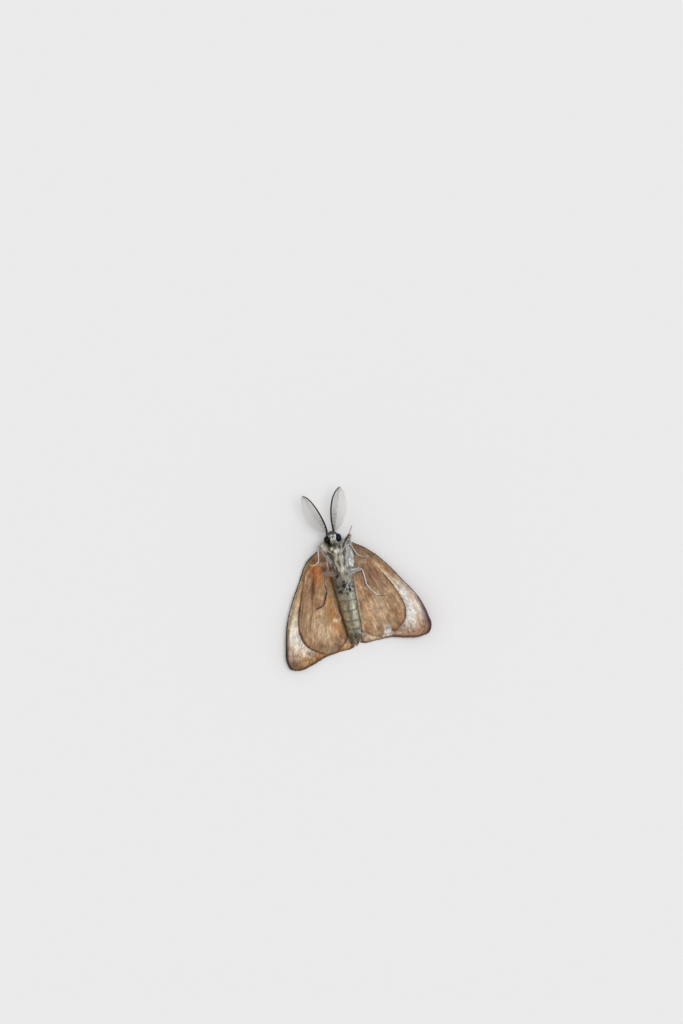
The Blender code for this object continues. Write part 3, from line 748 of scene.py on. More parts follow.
def make_wing(name, wing, side, node):
    """The closed film of a wing: two faces and a rim, on one grid."""
    s, t = np.meshgrid(np.linspace(0, FILM_END, GRID_ALONG), np.linspace(0, 1, GRID_ACROSS),
                       indexing="ij")
    points = np.concatenate([wing_surface(wing, side, s, t, face).reshape(-1, 3)
                             for face in (1, -1)])
    colours = np.concatenate([wing_colours(wing, side, s, t, face).reshape(-1, 3)
                              for face in (1, -1)])
    count = GRID_ALONG * GRID_ACROSS
    over = grid_faces(GRID_ALONG, GRID_ACROSS)
    number = np.arange(count).reshape(GRID_ALONG, GRID_ACROSS)
    rim = np.concatenate([number[:, 0], number[-1, 1:], number[-2::-1, -1], number[0, -2:0:-1]])
    after = np.roll(rim, -1)
    wall = np.stack([rim, rim + count, after + count, after], axis=1)
    faces = [over, over[:, ::-1] + count, wall]
    # The bake map: the belly face below, the back face above, the rim along the belly's edge.
    chart = np.stack([s.ravel() * 0.96 + 0.02, t.ravel() * 0.46 + 0.02], axis=1)
    charts = np.concatenate([chart, chart + (0.0, 0.5)])
    edge = np.concatenate([chart, chart + (0.0, 0.002)])
    piece = make_mesh(name, points, faces, wing_film, colours, charts)
    corners = np.empty(len(piece.data.loops), dtype=np.int32)
    piece.data.loops.foreach_get("vertex_index", corners)
    places = charts[corners]
    places[-wall.size:] = edge[corners[-wall.size:]]
    layer = piece.data.uv_layers["OFBake"]
    layer.data.foreach_set("uv", places.astype(np.float32).ravel())
    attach(piece, "root")
    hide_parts(node)


for side, which in enumerate(SIDES):
    make_wing("forewing_film_" + which, FOREWING, side, "forewing_" + which)
    make_wing("hindwing_film_" + which, HINDWING, side, "hindwing_" + which)


# ---- Wing scales and fringes ------------------------------------------------------------
# Flat dead scales, rooted in the film like roof tiles and pointing to the outer edge, and
# a fringe of longer ones along the rims. They carry the same colours as the film.

SCALE_LENGTH = 0.26
SCALE_WIDTH = 0.115
SCALE_THICK = 0.012
SCALE_LIFT = 0.09
FRINGE_COUNT = 900
FRINGE_LENGTH = 0.36
WORN_TINT = (240, 234, 228)
FLOOR_GAP = 0.01                    # no scale or hair comes nearer to the floor


def unit(vectors):
    """Vectors made one long."""
    return vectors / np.maximum(np.linalg.norm(vectors, axis=-1, keepdims=True), 1e-9)


def repeat_faces(template, count, stride):
    """The faces of one small shape, numbered for each of its copies."""
    template = np.asarray(template)
    copies = template[None] + np.arange(count)[:, None, None] * stride
    return copies.reshape(-1, template.shape[1])


def vanes(roots, ahead, up, length, width, lift):
    """Flat closed scales of six corners: root, two shoulders, tip, and a low ridge each side.

    A scale leaves its root along `ahead` and its tip stands `lift` times its length off.
    """
    across = unit(np.cross(ahead, up))
    rise = up * lift[:, None]
    middle = roots + (ahead + rise) * (length * 0.55)[:, None]
    tip = roots + (ahead + rise) * length[:, None]
    reach = across * (width / 2)[:, None]
    thick = up * SCALE_THICK / 2
    points = np.stack([roots, middle + reach, middle - reach, tip, middle + thick,
                       middle - thick], axis=1)
    template = [(0, 1, 4), (1, 3, 4), (3, 2, 4), (2, 0, 4),
                (1, 0, 5), (3, 1, 5), (2, 3, 5), (0, 2, 5)]
    return points.reshape(-1, 3), repeat_faces(template, len(roots), 6)


PATCH_HALF = 0.0013
VANE_PATCH = np.array([(0, -1), (1, 0), (-1, 0), (0, 1), (0.3, 0), (-0.3, 0)]) * PATCH_HALF


def bake_patches(places, patch):
    """Each small shape's own patch of the bake map, at its root's place."""
    return (places[:, None, :] + patch).reshape(-1, 2)


coat = Finish("wing_scales", roughness=0.65, specular_ior_level=0.25)
coat_tone = coat.noise(0.05, detail=1.0) * 0.35 + 0.825
wing_scales = coat.end(base_color=coat.shade(coat.marks(), coat_tone))


def scatter_on_grid(plan, count, random):
    """Cells of a grid drawn evenly by area, with a random place inside each."""
    ds, dt = plan[1:, :-1] - plan[:-1, :-1], plan[:-1, 1:] - plan[:-1, :-1]
    area = np.abs(ds[..., 0] * dt[..., 1] - ds[..., 1] * dt[..., 0]).ravel()
    total = np.cumsum(area)
    wanted = (np.arange(count) + random.random(count)) / count * total[-1]
    cell = np.searchsorted(total, wanted)
    rows, columns = plan.shape[0] - 1, plan.shape[1] - 1
    return ((cell // columns + random.random(count)) / rows,
            (cell % columns + random.random(count)) / columns)


def make_scales(name, wing, side, face, count, seed):
    """The scales of one face of a wing."""
    random = np.random.default_rng(seed)
    s, t = np.meshgrid(np.linspace(0, FILM_END, 121), np.linspace(0, 1, 81), indexing="ij")
    s, t = scatter_on_grid(wing_plan(wing, side, s, t), count, random)
    s = s * FILM_END
    step = 0.004
    roots = wing_surface(wing, side, s, t, face)
    along = unit(wing_surface(wing, side, np.minimum(s + step, 1), t, face)
                 - wing_surface(wing, side, np.maximum(s - step, 0), t, face))
    across = unit(wing_surface(wing, side, s, np.minimum(t + step, 1), face)
                  - wing_surface(wing, side, s, np.maximum(t - step, 0), face))
    up = unit(np.cross(along, across))
    up *= np.sign(up[:, 2:3]) * face
    ahead = unit(along + across * random.normal(0, 0.16, (count, 1)))
    length = SCALE_LENGTH * random.uniform(0.75, 1.2, count)
    width = SCALE_WIDTH * random.uniform(0.8, 1.2, count)
    lift = SCALE_LIFT * random.uniform(0.4, 1.5, count)
    points, faces = vanes(roots, ahead, up, length, width, lift)
    points[:, 2] = np.maximum(points[:, 2], FLOOR_GAP)
    tone = random.uniform(0.74, 1.26, (count, 1))
    colours = wing_colours(wing, side, s, t, face) * tone
    shading = np.array([0.9, 1.0, 1.0, 1.08, 1.0, 0.95])
    marks = (colours[:, None, :] * shading[None, :, None]).reshape(-1, 3)
    chart = np.stack([s * 0.96 + 0.02, t * 0.96 + 0.02], axis=1)
    piece = make_mesh(name, points, [faces], wing_scales, marks, bake_patches(chart, VANE_PATCH))
    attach(piece, "root")


def make_fringe(name, wing, side, seed, length_share):
    """The fringe: long scales that stand out from the outer and front rims."""
    random = np.random.default_rng(seed)
    count = FRINGE_COUNT
    share = (np.arange(count) + random.random(count)) / count
    t = np.clip(share * 1.08 - 0.08, 0, 1)
    s = FILM_END - 1.6 * np.maximum(0.08 / 1.08 - share, 0)
    step = 0.004
    inside = wing_surface(wing, side, s - 0.03, t, 1) + wing_surface(wing, side, s - 0.03, t, -1)
    rim = (wing_surface(wing, side, s, t, 1) + wing_surface(wing, side, s, t, -1)) / 2
    along = unit(wing_surface(wing, side, s, np.minimum(t + step, 1), 1)
                 - wing_surface(wing, side, s, np.maximum(t - step, 0), 1))
    square = np.stack([along[:, 1], -along[:, 0], np.zeros(count)], axis=1)
    square *= np.sign((square * (rim - inside / 2)).sum(-1, keepdims=True))
    ahead = unit(square + along * random.normal(0.0, 0.14, (count, 1)))
    up = np.zeros((count, 3)) + (0.0, 0.0, 1.0)
    roots = rim - ahead * 0.08 + up * random.uniform(-0.02, 0.03, (count, 1))
    fullness = 0.45 + 0.55 * soft_step(t, 0.0, 0.25)
    pale = np.zeros(count)
    for middle, half in wing["pale_fringe"][side]:
        away = np.hypot(rim[:, 0] - middle[0], rim[:, 1] - middle[1])
        pale = np.maximum(pale, bell(away, 0.0, half))
    length = FRINGE_LENGTH * length_share * fullness * random.uniform(0.65, 1.15, count)
    length *= 1 + 1.4 * pale
    width = 0.10 * random.uniform(0.7, 1.2, count)
    points, faces = vanes(roots, ahead, up, length, width, random.normal(0.0, 0.06, count))
    points[:, 2] = np.maximum(points[:, 2], FLOOR_GAP)
    base = wing_colours(wing, side, s, t, 1)
    dark = paint(wing["fringe"][side])
    dots = soft_step(np.sin(t * 60.0), -0.5, 0.5)[:, None]
    tip = base * (0.3 + 0.3 * dots) + dark * (0.7 - 0.3 * dots)
    tip = mix(tip, WORN_TINT, pale)
    base = mix(base, WORN_TINT, pale)
    shares = np.array([0.0, 0.55, 0.55, 1.0, 0.6, 0.6])[None, :, None]
    marks = base[:, None] * (1 - shares) + tip[:, None] * shares
    marks = marks * random.uniform(0.85, 1.1, (count, 1, 1))
    chart = np.stack([0.02 + 0.96 * share, np.where(np.arange(count) % 2, 0.3, 0.7)], axis=1)
    piece = make_mesh(name, points, [faces], wing_scales, marks.reshape(-1, 3),
                      bake_patches(chart, VANE_PATCH))
    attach(piece, "root")


for side, which in enumerate(SIDES):
    make_scales("forewing_scales_belly_" + which, FOREWING, side, 1, 14500, 101 + side)
    make_scales("forewing_scales_back_" + which, FOREWING, side, -1, 9000, 111 + side)
    make_scales("hindwing_scales_belly_" + which, HINDWING, side, 1, 14500, 121 + side)
    make_scales("hindwing_scales_back_" + which, HINDWING, side, -1, 4500, 131 + side)
    make_fringe("forewing_fringe_" + which, FOREWING, side, 141 + side, 1.0)
    make_fringe("hindwing_fringe_" + which, HINDWING, side, 151 + side, 0.7)


# ---- Body and legs ----------------------------------------------------------------------
# One unbroken skin over the head, thorax, abdomen and six jointed legs, horny in life. It
# is made from swept shapes melted together, and lies under the coat by the coat's depth.

# Stations: place along v, middle u, half width, lowest and highest z.
THORAX = (
    (5.15, -0.30, 0.35, 2.35, 3.15), (4.95, -0.25, 1.00, 1.50, 3.80),
    (4.40, -0.15, 1.75, 0.60, 4.45), (3.40, -0.08, 2.15, -0.05, 4.90),
    (2.40, -0.03, 2.10, -0.22, 5.00), (1.20, 0.00, 1.90, 0.10, 4.90),
    (0.20, 0.00, 1.55, 0.85, 4.50), (-0.45, 0.00, 1.00, 1.45, 3.90),
    (-0.60, 0.00, 0.40, 2.10, 3.20),
)
ABDOMEN = (
    (0.60, 0.00, 0.90, 1.90, 3.90), (-0.40, -0.05, 1.30, 1.52, 4.35),
    (-1.60, -0.12, 1.42, 1.42, 4.55), (-3.20, -0.11, 1.34, 1.35, 4.45),
    (-5.20, -0.09, 1.16, 1.33, 4.05), (-7.20, -0.10, 0.98, 1.33, 3.60),
    (-8.60, -0.11, 0.80, 1.35, 3.15), (-9.50, -0.10, 0.60, 1.40, 2.75),
    (-10.05, -0.12, 0.36, 1.52, 2.40), (-10.35, -0.14, 0.12, 1.75, 2.05),
)
THORAX_COAT = 0.22                  # depth of the coat over each part
ABDOMEN_COAT = 0.07
HEAD_COAT = 0.14
HEAD_CENTRE = np.array([-0.36, 5.64, 3.10])
HEAD_RADII = np.array([1.02, 0.98, 1.18])
EYE_OFFSET = np.array([0.82, -0.18, 0.42])
EYE_RADII = ((0.52, 0.58, 0.64), (0.47, 0.62, 0.64))
SEGMENT_JOINTS = (-1.15, -2.40, -3.62, -5.12, -6.62, -7.85, -8.60)
LEG_RADII = (0.30, 0.23, 0.088, 0.068, 0.055, 0.055)
THIGH_SHARES = {"fore": 0.60, "mid": 0.85, "hind": 1.0}
LEGS = {
    "leg_fore_left": ((0.35, 3.00, 4.60), (0.72, 3.90, 5.65), (1.25, 4.75, 6.20),
                      (2.05, 5.65, 6.60), (2.32, 6.10, 6.72), (2.66, 6.70, 6.75)),
    "leg_fore_right": ((-0.50, 2.90, 4.60), (-1.05, 3.55, 5.50), (-1.65, 4.12, 6.05),
                       (-2.12, 4.44, 6.55), (-2.42, 4.60, 6.72), (-2.62, 4.86, 6.75)),
    "leg_mid_left": ((0.72, 1.00, 4.55), (1.18, 2.75, 5.25), (1.70, 4.65, 5.45),
                     (2.68, 2.35, 6.60), (4.00, 1.75, 6.75), (5.15, 2.20, 6.75)),
    "leg_mid_right": ((-0.72, 1.10, 4.55), (-1.65, 2.85, 5.25), (-2.65, 4.85, 5.65),
                      (-3.05, 2.50, 6.60), (-4.15, 2.20, 6.75), (-4.68, 3.05, 6.75)),
    "leg_hind_left": ((0.55, 0.25, 4.10), (1.45, 0.30, 5.05), (2.85, 0.55, 5.55),
                      (3.02, -2.10, 6.50), (4.15, -3.75, 6.75), (5.45, -4.05, 6.75)),
    "leg_hind_right": ((-0.60, 0.25, 4.10), (-1.60, 0.50, 5.00), (-3.10, 0.95, 5.45),
                       (-2.72, -1.70, 6.50), (-3.60, -3.65, 6.75), (-4.82, -3.95, 6.75)),
}
LEG_STEPS = 110
VOXEL = 0.055
SKIN_SHADE = 0.85                   # the skin is a little darker than the coat over it
# Furrows between the leg bases: their two ends.
FURROWS = (((-1.79, 3.71), (-0.79, 1.86)), ((-1.36, 4.00), (-0.64, 2.57)),
           ((1.14, 3.00), (0.79, 1.71)), ((0.55, 4.1), (0.85, 3.2)))


def trunk_rings(stations, count, around, coat_depth):
    """Rings through the stations, drawn in by the coat's depth."""
    turn = np.linspace(0, 2 * math.pi, around, endpoint=False)
    rows = curve_between(stations, 0, len(stations) - 1, np.linspace(0, 1, count))
    v, middle, half, low, high = rows.T[:, :, None]
    width = np.maximum(half - coat_depth, half * 0.45)
    tall = np.maximum((high - low) / 2 - coat_depth, (high - low) * 0.22)
    return np.stack([middle + width * np.cos(turn), v + 0 * turn,
                     (low + high) / 2 + tall * np.sin(turn)], axis=-1)


def closed_tube(rings):
    """Points and faces of rings joined in a tube with a cap at each end."""
    count, around = rings.shape[:2]
    step = np.arange(count - 1)[:, None] * around
    corner = np.arange(around)
    after = (corner + 1) % around
    quads = np.stack([step + corner, step + after, step + around + after, step + around + corner],
                     axis=-1).reshape(-1, 4)
    caps = [[int(k) for k in corner[::-1]], [int(k) for k in corner + (count - 1) * around]]
    return rings.reshape(-1, 3), quads.tolist() + caps


def rings_on_path(path, radii, around):
    """Round rings square to a path: the turning frame is set by one fixed helper direction."""
    tangent = unit(np.gradient(path, axis=0))
    helper = np.array([0.31, 0.22, 0.92])
    side = unit(np.cross(tangent, helper))
    over = np.cross(side, tangent)
    turn = np.linspace(0, 2 * math.pi, around, endpoint=False)
    circle = (np.cos(turn)[None, :, None] * side[:, None]
              + np.sin(turn)[None, :, None] * over[:, None])
    return path[:, None] + circle * np.asarray(radii)[:, None, None]


def bent_path(joints, trim=0.8, steps=7):
    """The joints' path with each bend rounded by a circular arc, and where each point lies.

    An arc is a rational quadratic curve from one side of the joint to the other, whose
    middle point weighs the sine of half the angle between the two sides.
    """
    joints = np.asarray(joints, dtype=float)
    path, number = [joints[0]], [0.0]
    for index in range(1, len(joints) - 1):
        before, joint, after = joints[index - 1:index + 2]
        lengths = [np.linalg.norm(other - joint) for other in (before, after)]
        reach = min(trim if index < 3 else trim / 2, 0.45 * min(lengths))
        start = joint + (before - joint) * reach / lengths[0]
        end = joint + (after - joint) * reach / lengths[1]
        weight = np.linalg.norm(end - start) / (2 * reach)
        for t in np.linspace(0.0, 1.0, steps):
            pull = 2 * t * (1 - t) * weight
            weighed = (1 - t)**2 * start + pull * joint + t**2 * end
            path.append(weighed / ((1 - t)**2 + pull + t**2))
            spread = reach / lengths[0] * (t - 1) if t < 0.5 else reach / lengths[1] * t
            number.append(index + spread if t != 0.5 else float(index))
    path.append(joints[-1])
    number.append(len(joints) - 1.0)
    return np.array(path), np.array(number)


def leg_line(name, joints):
    """Even points along a leg, its radius there, and the joint number reached."""
    path, number = bent_path(joints)
    length = np.concatenate([[0.0], np.cumsum(np.linalg.norm(np.diff(path, axis=0), axis=1))])
    wanted = np.linspace(0.0, length[-1], LEG_STEPS)
    points = np.stack([np.interp(wanted, length, path[:, k]) for k in range(3)], axis=1)
    reached = np.interp(wanted, length, number)
    radius = np.interp(reached, range(6), LEG_RADII)
    radius += 0.05 * np.sin(math.pi * np.clip((reached - 0.3) / 1.6, 0, 1))
    radius += 0.055 * bell(reached, 2.5, 0.45) * (name == "leg_fore_left")
    hind_shin = soft_step(reached, 2.0, 2.4) * soft_step(reached, 5.0, 4.2)
    radius += 0.030 * hind_shin * (name == "leg_hind_left")
    thick_foot = {"leg_fore_left": 0.022, "leg_hind_right": 0.030}.get(name, 0.0)
    radius += thick_foot * soft_step(reached, 2.7, 3.2)
    radius *= 1 - (1 - THIGH_SHARES[name.split("_")[1]]) * (1 - soft_step(reached, 1.7, 2.1))
    radius += 0.015 * np.sin(math.pi * np.clip((reached - 2.0), 0, 1))
    foot = np.clip((reached - 3.0) / 2.0, 0, 1)
    radius += 0.012 * np.abs(np.sin(5 * math.pi * foot)) * (foot > 0)
    narrow = bell(reached, 2.0, 0.06) + bell(reached, 3.0, 0.05)
    return points, radius * (1 - 0.18 * narrow), reached


def ellipsoid_rings(centre, radii, count, around):
    """Rings of an ellipsoid from one pole to the other along v."""
    polar = np.linspace(0.02, math.pi - 0.02, count)[:, None]
    turn = np.linspace(0, 2 * math.pi, around, endpoint=False)[None, :]
    return np.stack([centre[0] + radii[0] * np.sin(polar) * np.cos(turn),
                     centre[1] + radii[1] * np.cos(polar) + 0 * turn,
                     centre[2] + radii[2] * np.sin(polar) * np.sin(turn)], axis=-1)


LEG_LINES = {name: leg_line(name, joints) for name, joints in LEGS.items()}
skin_parts = [closed_tube(trunk_rings(THORAX, 40, 48, THORAX_COAT)),
              closed_tube(trunk_rings(ABDOMEN, 60, 44, ABDOMEN_COAT)),
              closed_tube(ellipsoid_rings(HEAD_CENTRE, HEAD_RADII - HEAD_COAT, 28, 36))]
neck_path = np.linspace((-0.30, 4.6, 2.9), (-0.38, 5.3, 3.0), 6)
skin_parts.append(closed_tube(rings_on_path(neck_path, np.full(6, 0.62), 24)))
for points, radius, _ in LEG_LINES.values():
    skin_parts.append(closed_tube(rings_on_path(points, radius, 18)))
# Swollen leg bases and shoulders under the fur, two mouth feelers, two feeler sockets.
BASES = (((-0.55, 3.2, 3.95), (0.42, 0.95, 0.85)), ((0.50, 3.2, 3.95), (0.42, 0.95, 0.85)),
         ((-0.85, 1.9, 4.0), (0.50, 0.95, 0.75)), ((0.85, 1.9, 4.0), (0.50, 0.95, 0.75)),
         ((-0.62, 0.7, 3.75), (0.48, 0.75, 0.60)), ((0.62, 0.7, 3.75), (0.48, 0.75, 0.60)),
         ((-1.55, 4.42, 2.70), (0.72, 0.74, 0.90)), ((1.22, 4.42, 2.70), (0.66, 0.72, 0.90)))
for centre, radii in BASES:
    skin_parts.append(closed_tube(ellipsoid_rings(centre, radii, 18, 22)))
PALPS = (((-0.62, 5.35, 4.02), (-0.60, 5.05, 4.28), (-0.56, 4.80, 4.36)),
         ((-0.16, 5.35, 4.02), (-0.18, 5.05, 4.28), (-0.22, 4.80, 4.36)))
for joints in PALPS:
    palp = curve_between(joints, 0, 2, np.linspace(0, 1, 12))
    skin_parts.append(closed_tube(rings_on_path(palp, np.linspace(0.17, 0.10, 12), 14)))
SOCKETS = (((-0.98, 6.00, 3.05), (-1.02, 6.28, 3.14), (-1.02, 6.55, 3.23)),
           ((-0.10, 6.00, 3.05), (-0.06, 6.28, 3.14), (-0.05, 6.55, 3.23)))
for joints in SOCKETS:
    socket = curve_between(joints, 0, 2, np.linspace(0, 1, 10))
    skin_parts.append(closed_tube(rings_on_path(socket, np.linspace(0.20, 0.12, 10), 14)))

points, faces, start = [], [], 0
for part_points, part_faces in skin_parts:
    points.append(part_points)
    faces += [[int(corner) + start for corner in face] for face in part_faces]
    start += len(part_points)
raw = bpy.data.meshes.new("skin_raw")
raw.from_pydata(np.concatenate(points).tolist(), [], faces)
work = bmesh.new()
work.from_mesh(raw)
bmesh.ops.recalc_face_normals(work, faces=work.faces)
work.to_mesh(raw)
work.free()
lump = bpy.data.objects.new("skin_raw", raw)
bpy.context.scene.collection.objects.link(lump)
melt = lump.modifiers.new("melt", "REMESH")
melt.mode = "VOXEL"
melt.voxel_size = VOXEL
ease = lump.modifiers.new("ease", "SMOOTH")
ease.factor = 0.5
ease.iterations = 4
ready = lump.evaluated_get(bpy.context.evaluated_depsgraph_get()).to_mesh()
skin_points = np.empty(len(ready.vertices) * 3, dtype=np.float32)
ready.vertices.foreach_get("co", skin_points)
skin_points = skin_points.reshape(-1, 3).astype(float)
skin_normals = np.empty(len(ready.vertices) * 3, dtype=np.float32)
ready.vertices.foreach_get("normal", skin_normals)
skin_normals = skin_normals.reshape(-1, 3).astype(float)
skin_corners = np.empty(len(ready.loops), dtype=np.int32)
ready.loops.foreach_get("vertex_index", skin_corners)
skin_quads = skin_corners.reshape(-1, 4)
bpy.data.objects.remove(lump, do_unlink=True)


def along_segment(points, start, end):
    """Share of the way along a segment and distance from it, in plan."""
    start, run = np.asarray(start), np.subtract(end, start)
    share = np.clip(((points[:, :2] - start) @ run) / (run @ run), 0, 1)
    return share, np.linalg.norm(points[:, :2] - start - share[:, None] * run, axis=1)


def furrow_depth(points, half=0.15):
    """1 in the bottom of a furrow between the leg bases and 0 away from all of them."""
    depth = np.zeros(len(points))
    for start, end in FURROWS:
        share, away = along_segment(points, start, end)
        ends = np.sin(math.pi * np.clip(share * 0.96 + 0.02, 0, 1)) ** 0.5
        depth = np.maximum(depth, bell(away, 0, half) * ends)
    return depth * soft_step(points[:, 2], 2.4, 3.0)


def leg_places(points):
    """For each point its nearest leg, how far off the leg's side, and where along it."""
    best = np.full(len(points), 9.0)
    which = np.zeros(len(points), dtype=int)
    reached = np.zeros(len(points))
    ahead = np.zeros((len(points), 3))
    for number, (line, radius, joint) in enumerate(LEG_LINES.values()):
        tangent = unit(np.gradient(line, axis=0))
        gap = np.linalg.norm(points[:, None] - line, axis=-1) - radius
        index = gap.argmin(axis=1)
        gap = gap.min(axis=1)
        closer = gap < best
        best = np.where(closer, gap, best)
        which = np.where(closer, number, which)
        reached = np.where(closer, joint[index], reached)
        ahead = np.where(closer[:, None], tangent[index], ahead)
    return best, which, reached, ahead


def leg_aside(points, number):
    """How far each point lies off its leg's middle line to one side, in leg radii.

    The side is the run of the leg crossed with straight up.
    """
    aside = np.zeros(len(points))
    for index, (line, radius, _) in enumerate(LEG_LINES.values()):
        mine = number == index
        off = points[mine, None] - line
        step = np.linalg.norm(off, axis=-1).argmin(axis=1)
        side = unit(np.cross(np.gradient(line, axis=0), (0.0, 0.0, 1.0)))
        aside[mine] = (off[np.arange(len(step)), step] * side[step]).sum(-1) / radius[step]
    return aside


def ring_phase(v):
    """How close a place on the abdomen is to a joint between two rings."""
    joints = np.array(SEGMENT_JOINTS)
    return bell(np.abs(v[:, None] - joints).min(axis=1), 0.0, 0.12)


leg_gap, leg_number, leg_reached, _ = leg_places(skin_points)
on_leg = (leg_gap < 0.10) & (leg_reached > 0.35)
on_abdomen = (skin_points[:, 1] < -0.4) & ~on_leg
skin_points -= skin_normals * (0.28 * furrow_depth(skin_points) * ~on_leg)[:, None]
skin_points -= skin_normals * (0.07 * ring_phase(skin_points[:, 1]) * on_abdomen)[:, None]
diagonals = [skin_points[skin_quads[:, far]] - skin_points[skin_quads[:, near]]
             for near, far in ((0, 2), (1, 3))]
facing = np.cross(*diagonals)
skin_normals = np.zeros_like(skin_points)
for corner in range(4):
    np.add.at(skin_normals, skin_quads[:, corner], facing)
skin_normals = unit(skin_normals)

SPOTS = (((-0.21, -1.48), (0.26, 0.28)), ((-0.13, -0.83), (0.26, 0.12)),
         ((0.07, -1.30), (0.12, 0.16)), ((-0.88, -2.17), (0.26, 0.20)),
         ((0.54, -2.11), (0.18, 0.26)), ((0.57, -1.58), (0.16, 0.12)),
         ((0.07, -2.67), (0.12, 0.13)), ((1.01, -1.78), (0.11, 0.13)),
         ((-1.00, -1.50), (0.14, 0.14)), ((-0.88, 0.03), (0.18, 0.16)),
         ((-1.42, -0.50), (0.16, 0.14)), ((-0.10, -8.67), (0.15, 0.24)),
         ((0.10, -2.05), (0.08, 0.12)), ((0.35, -1.00), (0.10, 0.08)),
         ((-0.55, -1.90), (0.09, 0.10)), ((-0.62, -2.60), (0.07, 0.08)))
# Washes of the belly side of the trunk, as on the wings. They are partly the moth's own colours and
# partly painted light and shade: darker and browner down its right side, lighter down its left
# side, as lit from its left.
TRUNK_WASHES = (
    # Painted shade, partly its own colour: the abdomen's dark right edge.
    ((150, 112, 74), (-1.30, -6.0), (0.28, 4.2), 3, 0.9),
    ((158, 146, 110), (-0.72, -5.8), (0.42, 3.8), 3, 0.85),
    # Painted light, partly its own colour: the abdomen's pale left side.
    ((206, 208, 188), (0.62, -5.2), (0.42, 3.4), 2, 0.9),
    ((182, 180, 170), (0.95, -2.6), (0.4, 1.6), 0, 0.9),
    ((176, 178, 172), (0.35, -1.3), (0.5, 1.2), 0, 0.8),
    ((128, 120, 106), (-0.55, -1.2), (0.5, 1.0), 0, 0.7),
    ((150, 146, 132), (-0.1, -2.9), (0.4, 0.4), 0, 0.7),
    # Painted shade: dark at the right edge of the abdomen's front.
    ((96, 84, 68), (-1.2, -1.2), (0.3, 1.2), 0, 0.9),
    ((184, 150, 120), (-0.15, -9.4), (0.5, 0.5), 0, 0.8),
    # Painted shade: the dark strip beside the abdomen's tail.
    ((40, 28, 18), (-0.85, -9.2), (0.2, 0.4), 0, 0.9),
    ((156, 134, 112), (-0.2, -10.0), (0.4, 0.3), 0, 0.7),
    ((118, 104, 90), (-0.7, 0.2), (0.6, 0.4), 0, 0.8),
    ((152, 144, 130), (0.1, -0.2), (0.4, 0.4), 0, 0.7),
    ((206, 204, 200), (0.9, 0.5), (0.5, 0.4), 0, 0.8),
    # Painted shade, partly its own colour: the thorax's browner right flank.
    ((160, 138, 124), (-1.95, 2.9), (0.55, 1.3), -10, 0.95),
    ((152, 130, 116), (-1.45, 1.7), (0.55, 0.7), 0, 0.8),
    ((118, 98, 82), (-1.35, 0.7), (0.5, 0.45), 0, 0.8),
    ((228, 208, 194), (-1.65, 4.50), (0.42, 0.30), 0, 0.85),
    ((150, 150, 150), (-2.05, 5.10), (0.5, 0.38), -25, 0.9),
    ((244, 244, 242), (1.05, 4.95), (0.35, 0.42), 0, 0.9),
    ((196, 188, 178), (-0.70, 3.9), (0.28, 0.55), -15, 0.85),
    ((200, 198, 192), (-0.20, 3.6), (0.4, 0.6), 0, 0.8),
    # Painted shade at the throat.
    ((124, 112, 90), (-0.30, 4.6), (0.4, 0.25), 0, 0.8),
    ((168, 162, 142), (-0.25, 2.5), (0.3, 0.8), 0, 0.8),
    ((136, 128, 100), (-0.15, 2.9), (0.14, 0.4), 0, 0.8),
    ((204, 198, 188), (0.35, 2.6), (0.22, 0.6), 0, 0.8),
    ((178, 172, 158), (0.0, 1.5), (0.35, 0.6), 0, 0.7),
    # Painted light, partly its own colour: the thorax's white left flank.
    ((222, 224, 222), (1.40, 2.9), (0.36, 1.1), -6, 0.95),
    ((226, 224, 222), (1.20, 1.7), (0.42, 0.8), -6, 0.9),
    ((210, 208, 200), (0.75, 0.9), (0.45, 0.5), 0, 0.8),
    ((190, 186, 180), (0.35, 4.3), (0.35, 0.4), 0, 0.8),
    ((214, 212, 210), (1.15, 4.5), (0.4, 0.5), 0, 0.9),
    ((226, 226, 224), (1.75, 4.5), (0.35, 0.5), 0, 0.9),
    ((120, 116, 112), (0.62, 3.3), (0.10, 0.6), 12, 0.7),
)
TRUNK_STROKES = (
    # Painted shade between the left middle thigh and the breast.
    ((96, 96, 94), (0.86, 2.9), (0.66, 1.7), 0.09, 0.8),
    # Painted shade: the dark gap between the thorax and the left middle leg.
    ((30, 28, 28), (1.80, 4.10), (2.15, 2.60), 0.12, 0.9),
    # Painted shade along the right middle thigh.
    ((88, 70, 56), (-2.1, 3.7), (-1.6, 2.5), 0.10, 0.7),
    ((84, 66, 50), (-1.0, 1.9), (-0.7, 1.3), 0.10, 0.7),
    ((236, 234, 228), (-1.02, 4.0), (-0.78, 3.3), 0.07, 0.7),
    ((236, 234, 228), (-0.42, 3.6), (-0.36, 2.8), 0.06, 0.6),
    ((238, 236, 232), (0.15, 3.2), (0.25, 2.3), 0.06, 0.6),
    # Painted shade: the dark line in the gap at the abdomen's left edge.
    ((84, 72, 56), (1.22, -1.0), (0.95, -8.8), 0.07, 0.6),
)


